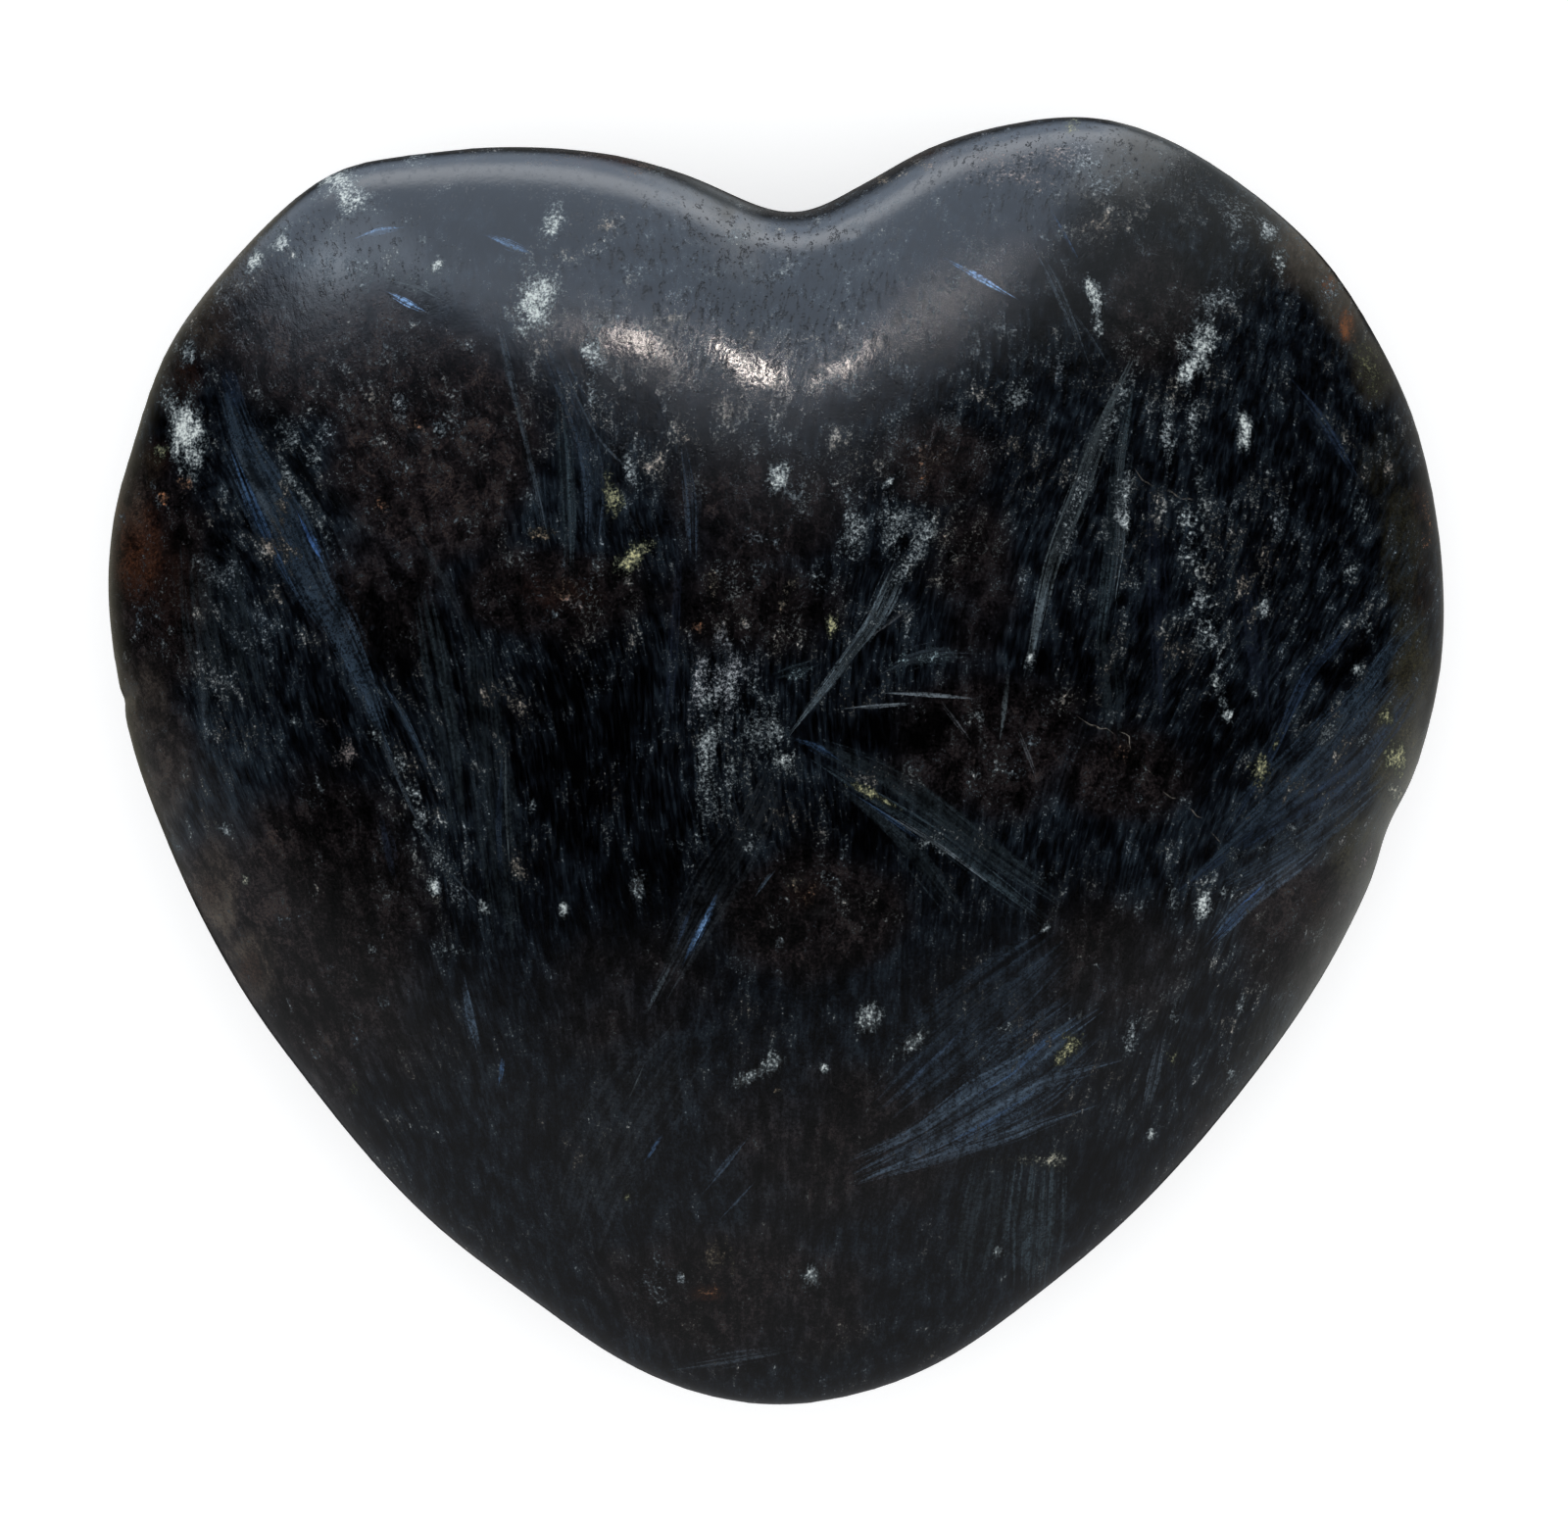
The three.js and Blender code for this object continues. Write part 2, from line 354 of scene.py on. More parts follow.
    "lowSweep": ([(1080, 966), (1020, 1018), (960, 1070), (904, 1124)], [40, 80, 80, 40],
                 "blueSteel", 0.4, 0.1),
    "lowSweepLine": ([(985, 1048), (958, 1075), (936, 1096), (914, 1122)], [2, 5, 5, 2],
                     "royalBlue", 0.9, 0.5),
    "lowVertical": ([(1058, 1190), (1054, 1240), (1050, 1312)], [44, 60, 40], "teal", 0.5, 0.0),
    "lowVerticalLeft": ([(1010, 1184), (1000, 1240), (990, 1300)], [34, 50, 30], "darkTeal", 0.6, 0.0),
    "lowVerticalRight": ([(1184, 1066), (1178, 1096), (1170, 1130)], [6, 14, 6], "slate", 0.7, 0.1),
    "lowLens": ([(732, 912), (720, 938), (708, 962), (698, 984)], [2, 8, 8, 3], "middleBlue", 0.9, 0.1),
    "lowLensCore": ([(728, 922), (716, 946), (706, 966)], [1.5, 4, 2], "skyBlue", 0.5, 0.1),
    "lowLensPair": ([(706, 925), (698, 945), (690, 966)], [2, 6, 2], "royalBlue", 0.7, 0.3),
    "lowLensTail": ([(686, 980), (673, 1006), (660, 1032)], [3, 8, 3], "paleTeal", 0.6, 0.0),
    "lowTick": ([(790, 888), (780, 901), (770, 914)], [2, 5, 2], "steel", 0.8, 0.3),
    "lowLeftPair": ([(474, 1004), (480, 1036), (488, 1070)], [6, 15, 8], "steel", 1.0, 0.3),
    "lowLeftTick": ([(513, 1080), (512, 1092), (510, 1104)], [2, 5, 2], "middleBlue", 0.9, 0.5),
    "lowMiddleThreads": ([(657, 1088), (650, 1104), (642, 1122)], [3, 6, 3], "greyGreen", 0.7, 0.1),
    "lowStrokeA": ([(674, 1160), (666, 1172), (658, 1184)], [2, 5, 2], "middleBlue", 0.8, 0.4),
    "lowStrokeB": ([(760, 1164), (741, 1188), (722, 1211)], [2, 7, 3], "deepSteel", 1.0, 0.4),
    "lowStrokeC": ([(768, 1208), (753, 1224), (738, 1240)], [2, 7, 2], "deepSteel", 0.9, 0.3),
    "lowSpray": ([(700, 1060), (650, 1130), (610, 1200), (590, 1260)], [40, 80, 90, 60], "smoke", 0.5, 0.0),
    "tipArc": ([(690, 1396), (740, 1388), (802, 1378)], [6, 14, 6], "slate", 0.5, 0.0),
    "leftTopSliver": ([(396, 299), (414, 308), (434, 318)], [2, 7, 2], "skyBlue", 1.0, 0.7),
    "leftTopTeal": ([(392, 286), (420, 292), (446, 304)], [4, 12, 5], "greyGreen", 0.8, 0.4),
    "notchCrack": ([(799, 219), (798, 232), (800, 248)], [3, 3, 2], "ink", 0.9, 1.0),
    "leftTopArc": ([(366, 243), (388, 236), (410, 233)], [2, 9, 2], "skyBlue", 0.35, 0.3),
    "leftTopArcB": ([(496, 240), (520, 249), (546, 259)], [2, 9, 2], "skyBlue", 0.4, 0.3),
}

# Fine cracks that hold pale dust here and there, written as the blades are
cracks = {
    "upperCrack": ([(1158, 478), (1166, 490), (1178, 498), (1190, 500), (1203, 508), (1214, 508),
                    (1228, 518), (1238, 516)],
                   [0.8, 1.8, 0.8], "crackDust", 0.6, 0.0),
    "middleCrack": ([(1104, 735), (1118, 743), (1134, 745), (1150, 752), (1160, 774), (1178, 792),
                     (1192, 812), (1214, 824), (1238, 852), (1250, 864)],
                    [0.8, 1.8, 0.8], "crackDust", 0.6, 0.0),
}

# Crumbly pale patches: centre, length and width in pixels, lean from upright in degrees, colour, how solid
patches = {
    "topLeftFrost": (352, 190, 66, 50, -50, "frost", 0.9),
    "topLeftCore": (351, 194, 30, 24, -50, "frost", 1.0),
    "topRimGrey": (422, 166, 14, 46, -10, "frostGrey", 0.6),
    "leftBigFrost": (190, 440, 110, 40, -8, "frost", 0.75),
    "leftBigCore": (189, 448, 44, 16, -10, "frost", 1.0),
    "leftBigAbove": (194, 364, 26, 12, 0, "frostGrey", 0.6),
    "leftTanSpot": (163, 460, 16, 12, 0, "straw", 0.7),
    "leftSpotA": (262, 264, 28, 14, 40, "frost", 0.8),
    "leftSpotB": (286, 248, 20, 12, 40, "frostGrey", 0.8),
    "leftSpotC": (432, 245, 12, 9, 0, "frost", 0.6),
    "leftSpotD": (446, 269, 20, 15, 30, "frost", 1.0),
    "leftSpotE": (416, 223, 22, 12, 50, "frostGrey", 0.6),
    "leftSpotF": (404, 282, 60, 16, -74, "frostGrey", 0.2),
    "topColumn": (564, 226, 54, 22, 20, "frost", 0.6),
    "topCluster": (546, 298, 66, 62, 0, "frost", 0.6),
    "topClusterCore": (542, 308, 40, 38, 0, "frost", 0.8),
    "columnFrost": (602, 356, 42, 20, -4, "frost", 0.7),
    "columnFrostLow": (603, 396, 36, 12, 4, "frostGrey", 0.6),
    "bladeEnd": (642, 478, 48, 14, -26, "frostGrey", 0.7),
    "strawColumn": (623, 508, 56, 14, -5, "straw", 0.6),
    "strawPatch": (640, 572, 36, 18, 50, "straw", 1.0),
    "strawPatchB": (656, 558, 22, 16, 60, "straw", 0.9),
    "strawPatchC": (553, 546, 12, 20, 0, "tan", 0.5),
    "wedgeFrost": (290, 436, 62, 22, -35, "frostGrey", 0.35),
    "wedgeFrostLow": (318, 466, 24, 20, 0, "frostGrey", 0.4),
    "wedgeGrey": (330, 440, 30, 26, -20, "dimFrost", 0.4),
    "leftHaze": (232, 585, 70, 60, 0, "dimFrost", 0.25),
    "leftBand": (250, 655, 40, 60, 0, "dimFrost", 0.3),
    "leftBandLow": (222, 690, 80, 40, -6, "dimFrost", 0.2),
    "greySpotA": (411, 410, 24, 26, 0, "dimFrost", 0.3),
    "greySpotB": (452, 440, 26, 20, 0, "frostGrey", 0.25),
    "rightStreak": (1117, 307, 64, 13, -10, "frost", 1.0),
    "upperGrey": (973, 286, 22, 26, -50, "frostGrey", 0.4),
    "upperGreyB": (1036, 406, 20, 38, -50, "frost", 0.45),
    "upperGreyC": (993, 338, 26, 14, -10, "frostGrey", 0.25),
    "upperGreyD": (1082, 378, 40, 22, -30, "dimFrost", 0.4),
    "columnTop": (1235, 306, 56, 26, 20, "frostGrey", 0.4),
    "columnMain": (1222, 358, 76, 32, 14, "frost", 0.6),
    "columnCore": (1214, 376, 36, 20, 10, "frost", 0.7),
    "columnTail": (1217, 430, 84, 12, -2, "frostGrey", 0.55),
    "columnTailLow": (1222, 486, 40, 12, -4, "frostGrey", 0.4),
    "brightLens": (1271, 442, 48, 14, 0, "frost", 1.0),
    "sideLens": (1192, 458, 72, 14, -3, "frostGrey", 0.6),
    "rimFrostA": (1268, 218, 44, 70, 20, "frostGrey", 0.4),
    "rimFrostB": (1294, 238, 34, 16, -60, "frost", 0.6),
    "rimFrostC": (1306, 266, 34, 16, -10, "frost", 0.55),
    "rimFrostD": (1266, 290, 40, 16, 14, "dimFrost", 0.5),
    "grainColumn": (1220, 560, 100, 28, -8, "frostGrey", 0.15),
    "grainColumnLow": (1230, 636, 84, 28, -12, "frostGrey", 0.12),
    "grainTail": (1247, 712, 54, 12, -20, "frost", 0.45),
    "grainTailEnd": (1253, 730, 14, 10, -20, "frost", 0.9),
    "rightSpeckA": (1148, 532, 24, 12, 0, "frost", 1.0),
    "rightSpeckB": (1256, 520, 30, 14, 10, "dimFrost", 0.5),
    "rightSpeckC": (1304, 530, 40, 10, 4, "dimFrost", 0.5),
    "rightSpeckD": (1388, 520, 30, 16, -30, "frostGrey", 0.35),
    "rightSpeckE": (1380, 582, 26, 10, 40, "frostGrey", 0.5),
    "rightSpeckF": (1290, 620, 26, 7, 10, "frostGrey", 0.7),
    "rightSpeckG": (1396, 642, 30, 10, -20, "frostGrey", 0.35),
    "rightSpeckH": (1384, 682, 12, 9, -20, "frost", 0.6),
    "rightSpeckI": (1354, 750, 30, 12, 36, "frostGrey", 0.5),
    "rightSpeckJ": (1390, 756, 34, 8, 30, "frostGrey", 0.4),
    "rightSpeckK": (1281, 709, 14, 8, 0, "frostGrey", 0.5),
    "bladeAEnd": (1052, 672, 20, 8, 8, "frost", 1.0),
    "bladeACrumbs": (1128, 440, 130, 24, 25, "frostGrey", 0.5),
    "bladeACrumbsLow": (1088, 540, 110, 24, 20, "frostGrey", 0.45),
    "bladeBCrumbs": (1141, 500, 150, 22, 5, "frostGrey", 0.45),
    "diagonalCrumbs": (914, 592, 46, 22, 25, "frostGrey", 0.4),
    "diagonalCrumbsLow": (872, 664, 90, 10, 36, "frostGrey", 0.35),
    "frondCrumbs": (812, 685, 12, 40, -14, "paleTeal", 0.5),
    "lensCrumbs": (944, 672, 14, 66, -10, "paleTeal", 0.5),
    "fanStrawA": (884, 808, 5, 34, 24, "straw", 0.8),
    "fanStrawB": (906, 819, 5, 32, 30, "straw", 0.8),
    "fanSpecks": (948, 860, 12, 70, 36, "frostGrey", 0.3),
    "centreCluster": (740, 704, 100, 84, 0, "paleLilac", 0.5),
    # A pale smear that is painted reflection: part of the sheen on the left shoulder
    "topLeftSheenSmear": (348, 284, 32, 130, -22, "dimFrost", 0.3),
    "centreClusterB": (727, 708, 50, 52, 20, "frostGrey", 0.6),
    "centreClusterC": (778, 744, 90, 52, -8, "frostGrey", 0.5),
    "centreTail": (721, 792, 160, 26, 5, "frostGrey", 0.5),
    "centreTailB": (780, 800, 90, 22, 6, "frostGrey", 0.35),
    "centrePatch": (800, 775, 20, 15, 0, "frost", 0.7),
    "centreTailC": (744, 800, 80, 16, 5, "frostGrey", 0.25),
    "upperCluster": (868, 548, 70, 30, 5, "frostGrey", 0.4),
    "upperClusterB": (912, 548, 80, 34, 6, "frostGrey", 0.45),
    "upperClusterC": (938, 548, 70, 26, 10, "frostGrey", 0.35),
    "upperClusterD": (836, 590, 40, 20, 4, "frostGrey", 0.3),
    "arrowFrost": (794, 488, 42, 20, 0, "frost", 0.8),
    "arrowFrostB": (805, 505, 8, 22, 10, "frostGrey", 0.5),
    "upperCurl": (907, 492, 22, 8, 50, "frost", 0.8),
    "pinkPatchA": (774, 549, 10, 24, 10, "paleLilac", 0.5),
    "chainA": (408, 780, 26, 10, -24, "frostGrey", 0.35),
    "chainB": (424, 808, 26, 18, 0, "frostGrey", 0.4),
    "chainC": (426, 836, 30, 22, 0, "frostGrey", 0.3),
    "chainD": (442, 870, 60, 12, -34, "frostGrey", 0.3),
    "chainE": (444, 904, 14, 12, 0, "frost", 0.6),
    "chainF": (464, 908, 50, 22, -24, "dimFrost", 0.4),
    "chainG": (493, 925, 18, 9, -30, "frost", 0.7),
    "chainH": (462, 970, 14, 60, 6, "frostGrey", 0.35),
    "leftSpecksA": (306, 500, 80, 12, -32, "frostGrey", 0.3),
    "leftSpecksB": (334, 548, 44, 16, -26, "frostGrey", 0.4),
    "bladeBase": (386, 750, 26, 18, -20, "frost", 0.55),
    "pinkPatchB": (352, 772, 30, 24, -10, "pink", 1.0),
    "bluePatch": (342, 776, 26, 8, 0, "paleTeal", 0.4),
    "pinkPatchC": (334, 736, 12, 24, 10, "pink", 0.7),
    "leftLowA": (230, 846, 12, 14, 0, "frostGrey", 0.7),
    "leftLowB": (251, 898, 12, 6, 20, "cream", 0.9),
    "leftLowC": (326, 800, 22, 7, -10, "frostGrey", 0.6),
    "leftLowD": (308, 806, 20, 20, 0, "dimFrost", 0.4),
    "leftLowE": (300, 735, 20, 8, -20, "frostGrey", 0.5),
    "leftLowF": (391, 1024, 14, 12, 0, "dimFrost", 0.7),
    "leftLowG": (404, 1106, 12, 10, 0, "dimFrost", 0.6),
    "ringFrost": (651, 902, 44, 20, 5, "frostGrey", 0.85),
    "dropFrost": (575, 930, 20, 8, 0, "frost", 0.9),
    "flakeA": (692, 862, 16, 36, 20, "frostGrey", 0.3),
    "flakeB": (765, 858, 30, 12, 10, "frostGrey", 0.4),
    "flakeC": (543, 822, 18, 10, 10, "frostGrey", 0.5),
    "flakeD": (795, 962, 16, 15, 30, "frostGrey", 0.6),
    "flakeE": (752, 985, 24, 44, 60, "dimFrost", 0.5),
    "diagonalFrost": (766, 1098, 46, 14, 56, "frost", 0.9),
    "diagonalFrostB": (788, 1086, 34, 24, 40, "frost", 0.75),
    "bigFleck": (887, 1040, 38, 24, 16, "frost", 1.0),
    "bigFleckB": (932, 1064, 52, 18, 52, "frost", 0.75),
    "starFleck": (841, 1090, 9, 7, 0, "frost", 1.0),
    "fleckC": (1022, 1049, 20, 9, 60, "frostGrey", 0.5),
    "fleckD": (1154, 1056, 44, 11, 14, "frostGrey", 0.65),
    "fleckE": (1102, 1036, 10, 8, 0, "frost", 0.7),
    "fleckF": (1065, 949, 6, 14, -28, "frost", 0.9),
    "fleckG": (1069, 894, 10, 26, -30, "frostGrey", 0.5),
    "fleckH": (943, 860, 10, 34, -30, "frost", 0.4),
    "fleckI": (1196, 918, 54, 12, -8, "frostGrey", 0.35),
    "fleckJ": (1228, 924, 26, 22, 30, "frost", 0.65),
    "fleckK": (1250, 910, 14, 12, 30, "frostGrey", 0.6),
    "fleckL": (1265, 872, 20, 14, 40, "frostGrey", 0.4),
    "fleckM": (1290, 866, 10, 18, 20, "frostGrey", 0.4),
    "fleckN": (1324, 862, 14, 16, 30, "frostGrey", 0.35),
    "fleckO": (1318, 844, 8, 26, 40, "frostGrey", 0.5),
    "fleckP": (1198, 1037, 20, 8, 10, "frostGrey", 0.6),
    "fleckQ": (1252, 1090, 36, 9, -30, "frostGrey", 0.45),
    "fleckR": (1265, 1026, 16, 10, 0, "frostGrey", 0.6),
    "fleckS": (1174, 1156, 12, 8, 0, "frost", 0.6),
    "crossBar": (1046, 1183, 8, 84, -3, "cream", 0.45),
    "crossHead": (1078, 1186, 16, 30, 0, "cream", 0.7),
    "tipFleckA": (694, 1303, 14, 12, 0, "cream", 0.9),
    "tipFleckB": (828, 1302, 24, 20, 20, "frost", 0.9),
    "tipFleckC": (1019, 1277, 16, 10, 10, "frost", 0.8),
    "tipFleckD": (732, 1378, 10, 12, 0, "dimFrost", 0.6),
    "tipFleckE": (839, 1412, 8, 16, 0, "dimFrost", 0.6),
    "dimPatch": (668, 1304, 64, 64, 40, "dimFrost", 0.6),
    "cornerStraw": (1094, 1066, 26, 14, 14, "straw", 1.0),
    "cornerStrawB": (1081, 1081, 22, 16, 30, "straw", 1.0),
    "cornerStrawC": (1198, 1077, 18, 10, 14, "straw", 0.6),
    "strawA": (1094, 131, 14, 16, 0, "straw", 0.6),
    "strawB": (937, 166, 8, 18, 20, "tan", 0.6),
    "strawC": (902, 184, 8, 22, 30, "tan", 0.5),
    "strawDot": (848, 638, 18, 11, 8, "straw", 0.95),
    "strawFan": (1286, 786, 28, 14, 36, "straw", 0.9),
    "strawFanB": (1302, 760, 18, 5, 24, "straw", 0.7),
    "rimStraw": (1425, 774, 44, 22, -10, "straw", 0.9),
    "rimStrawCore": (1424, 770, 18, 8, -6, "straw", 0.8),
    "rimStrawB": (1416, 732, 18, 12, 0, "straw", 0.8),
    "rimCream": (1424, 808, 18, 26, 30, "cream", 0.6),
    "rimOlive": (1400, 376, 44, 30, -20, "olive", 0.8),
    "rimGreyA": (1352, 300, 60, 40, -30, "dimFrost", 0.4),
    # Pale grit on the right lobe's top, partly grit of the rock and partly painted reflection of the gritty
    # sheen there
    "lobeSheenGritA": (1030, 168, 44, 120, 0, "pink", 0.3),
    "lobeSheenGritB": (1098, 158, 36, 90, 6, "paleLilac", 0.3),
    "lobeSheenGritC": (1122, 184, 30, 60, 20, "dimFrost", 0.5),
    "rimPink": (1396, 872, 34, 16, 30, "pink", 0.7),
    "rimRust": (1360, 294, 34, 9, -36, "rust", 0.9),
    "rimRustB": (1377, 332, 32, 9, -24, "rust", 0.9),
    "rimRustC": (1455, 528, 64, 11, -8, "rust", 0.6),
    "topRust": (586, 160, 10, 70, -6, "rust", 0.4),
    "topRustB": (650, 172, 8, 50, -22, "rust", 0.45),
    "rustA": (424, 437, 14, 13, 0, "rust", 0.6),
    "rustB": (392, 516, 14, 16, 30, "orange", 0.6),
    "rustC": (168, 506, 12, 8, 0, "orange", 0.8),
    "rustD": (184, 497, 18, 18, 0, "rust", 0.4),
    "rustE": (572, 600, 22, 34, 0, "rust", 0.4),
    "rustF": (580, 614, 18, 22, 0, "pink", 0.5),
    "rustG": (728, 604, 34, 9, -14, "tan", 0.7),
    "rustH": (803, 604, 32, 14, 18, "tan", 0.6),
    "rustI": (799, 616, 10, 10, 0, "orange", 0.8),
    "rustJ": (712, 639, 9, 8, 0, "orange", 1.0),
    "rustK": (952, 468, 40, 30, 0, "rust", 0.25),
    "rustL": (943, 491, 9, 12, 0, "orange", 0.7),
    "rustM": (1146, 772, 20, 18, 0, "rust", 0.5),
    "rustN": (1345, 921, 22, 10, -20, "rust", 0.4),
    "rustO": (812, 902, 18, 16, 0, "tan", 0.5),
    "rustP": (826, 914, 30, 20, 0, "rust", 0.4),
    "rustQ": (726, 1320, 14, 34, -4, "orange", 1.0),
    "rustQCore": (724, 1319, 8, 20, -4, "orange", 1.0),
    "rustR": (731, 1281, 34, 32, -30, "tan", 0.9),
    "rustRCore": (734, 1280, 16, 14, 0, "tan", 1.0),
    "rustS": (793, 1112, 11, 7, 14, "tan", 0.9),
    "rustT": (640, 1220, 8, 8, 0, "straw", 0.8),
    "rustU": (361, 1112, 16, 12, 0, "olive", 0.7),
}

# Broad tints under the markings: centre, reach across and down in pixels, strength. Umber is brown ground
# with crystals, ink deep black, dust many pale crumbs (over the lobes' tops also painted grain of the
# sheen), calm few, pitted fine pits in the polish with a few more pale crumbs as painted grain of the
# sheen, olive and rust stains (the olive along the rim also painted glow of light through the thin edge),
# smoky a paler tone that along the rim is painted glow of light through the thin edge, rings round
# crystals, lift paler ground, and dull a softer polish.
zones = {
    "umber": [
        (150, 590, 70, 150, 1.0), (340, 350, 140, 90, 0.85), (440, 450, 120, 150, 1.0),
        (560, 605, 110, 55, 0.9), (780, 520, 120, 80, 0.75), (955, 470, 66, 50, 1.0),
        (770, 610, 110, 70, 0.6), (1010, 760, 120, 90, 0.8), (1146, 790, 90, 60, 0.8),
        (830, 935, 110, 80, 0.9), (850, 1160, 170, 110, 0.5), (1175, 310, 66, 80, 0.7),
        (1070, 270, 100, 70, 0.35), (390, 600, 90, 90, 0.6), (210, 940, 80, 110, 0.6),
        (350, 1040, 110, 100, 0.5), (750, 1320, 170, 90, 0.6), (330, 960, 130, 210, 0.8),
        (1340, 950, 90, 90, 0.8), (1130, 980, 110, 90, 0.5), (1000, 600, 60, 120, 0.5),
        (330, 880, 90, 120, 0.45), (150, 760, 60, 90, 0.7), (640, 1010, 120, 90, 0.45),
        (430, 250, 70, 40, 0.2), (700, 230, 90, 30, 0.15),
    ],
    "ink": [
        (600, 750, 90, 130, 1.0), (1386, 662, 20, 24, 1.0), (1365, 688, 20, 20, 1.0),
        (920, 742, 100, 26, 0.9), (420, 660, 70, 70, 0.6), (1105, 1205, 34, 24, 0.8),
        (330, 800, 60, 120, 0.3), (870, 850, 60, 40, 0.7), (1240, 760, 60, 60, 0.6),
        (660, 900, 80, 80, 0.5), (200, 560, 60, 60, 0.3), (1330, 560, 60, 120, 0.5),
        (1090, 700, 60, 60, 0.4),
    ],
    "dust": [
        (236, 590, 70, 80, 0.9), (235, 700, 70, 80, 0.6), (700, 500, 160, 90, 0.7),
        # The dust at (1080, 165) and (340, 265) lies on the lobes' tops and is partly painted grain of the
        # sheen there
        (1080, 165, 100, 36, 1.0), (340, 265, 130, 60, 0.9), (450, 520, 110, 110, 0.4),
        (620, 730, 120, 130, 0.75), (745, 740, 90, 120, 0.6), (900, 545, 100, 60, 0.9),
        (430, 860, 60, 120, 0.6), (1220, 590, 60, 150, 0.4), (1330, 580, 110, 140, 0.8),
        (1150, 560, 60, 120, 0.5), (1000, 790, 120, 100, 0.6), (1250, 900, 110, 70, 0.6),
        (560, 300, 60, 70, 0.7), (850, 900, 90, 90, 0.5), (1230, 350, 60, 120, 0.7),
        (330, 480, 110, 110, 0.4), (1030, 600, 60, 110, 0.4), (560, 560, 120, 90, 0.5),
    ],
    "calm": [
        (780, 1250, 560, 420, 1.0), (420, 205, 200, 60, 0.8), (1090, 180, 140, 50, 0.5),
        (300, 950, 160, 200, 0.6),
    ],
    "pitted": [
        (770, 330, 180, 140, 1.0), (1080, 180, 140, 60, 0.8), (700, 250, 140, 50, 0.8),
        (330, 270, 130, 90, 0.35), (820, 450, 200, 80, 0.5),
    ],
    "olive": [
        (1404, 380, 36, 50, 0.7), (1426, 775, 40, 90, 1.0), (1440, 680, 34, 90, 0.9),
        (1390, 870, 54, 60, 0.8), (1106, 880, 70, 50, 0.3), (1430, 560, 36, 100, 0.7),
        (1329, 979, 80, 70, 0.4), (1000, 148, 80, 14, 0.5), (560, 156, 120, 10, 0.5),
        (330, 190, 60, 30, 0.3), (150, 480, 30, 40, 0.5), (1410, 480, 40, 70, 0.5),
        (290, 1090, 60, 80, 0.3), (850, 1400, 120, 40, 0.3),
    ],
    "rust": [
        (140, 560, 44, 90, 0.85), (172, 600, 40, 80, 0.6), (128, 522, 26, 34, 0.8),
        (258, 290, 13, 17, 0.5), (228, 330, 20, 40, 0.5), (190, 395, 28, 56, 0.7),
        (160, 470, 24, 40, 0.6), (1356, 292, 12, 18, 1.2), (1374, 331, 12, 26, 1.2),
        (1450, 512, 16, 34, 0.7), (1452, 600, 18, 60, 0.6), (620, 164, 70, 14, 0.8),
        (212, 914, 20, 26, 0.6), (257, 988, 24, 30, 0.7), (570, 604, 60, 34, 0.7),
        (950, 468, 44, 34, 0.6), (1146, 772, 40, 26, 0.5), (820, 910, 40, 36, 0.5),
        (950, 158, 60, 12, 0.7), (1180, 140, 50, 12, 0.2), (400, 505, 40, 50, 0.4),
        (1345, 925, 30, 34, 0.5), (1225, 1150, 20, 40, 0.4), (724, 1320, 24, 12, 0.8),
    ],
    "smokyAndEdgeGlow": [
        (148, 715, 34, 60, 0.7), (172, 800, 34, 80, 0.5), (220, 915, 32, 74, 0.8),
        (256, 990, 36, 52, 0.9), (246, 268, 40, 60, 0.7), (212, 322, 34, 56, 0.8),
        (182, 400, 30, 60, 0.6), (132, 520, 30, 40, 0.7), (250, 262, 30, 40, 0.4),
        (1335, 262, 50, 46, 0.9), (1370, 300, 34, 54, 0.8), (1404, 380, 34, 50, 0.5),
        (1440, 700, 34, 60, 0.4), (1385, 860, 60, 60, 0.35), (1320, 960, 70, 70, 0.15),
        (650, 176, 120, 18, 0.5), (960, 162, 80, 16, 0.6), (330, 1080, 30, 50, 0.3),
    ],
    "rings": [
        (1218, 560, 24, 60, 1.0), (1228, 620, 26, 60, 1.0), (1240, 690, 20, 50, 0.8),
        (424, 437, 20, 20, 1.0), (424, 815, 26, 40, 0.7), (172, 506, 34, 24, 1.0),
        (400, 450, 110, 90, 0.7), (340, 370, 90, 50, 0.5), (1224, 350, 40, 60, 0.5),
        (565, 600, 60, 40, 0.8), (812, 906, 40, 26, 0.8), (1250, 905, 40, 26, 0.7),
        (790, 590, 80, 40, 0.5), (1060, 780, 80, 50, 0.5), (740, 1290, 90, 60, 0.4),
    ],
    "lift": [
        (430, 450, 160, 140, 0.6), (340, 350, 110, 70, 0.7), (780, 1180, 460, 260, 0.5),
        (225, 860, 100, 150, 1.0), (1290, 850, 130, 120, 0.6),
    ],
    "dull": [
        (972, 302, 110, 90, 0.4), (1190, 250, 120, 90, 0.3),
    ],
}

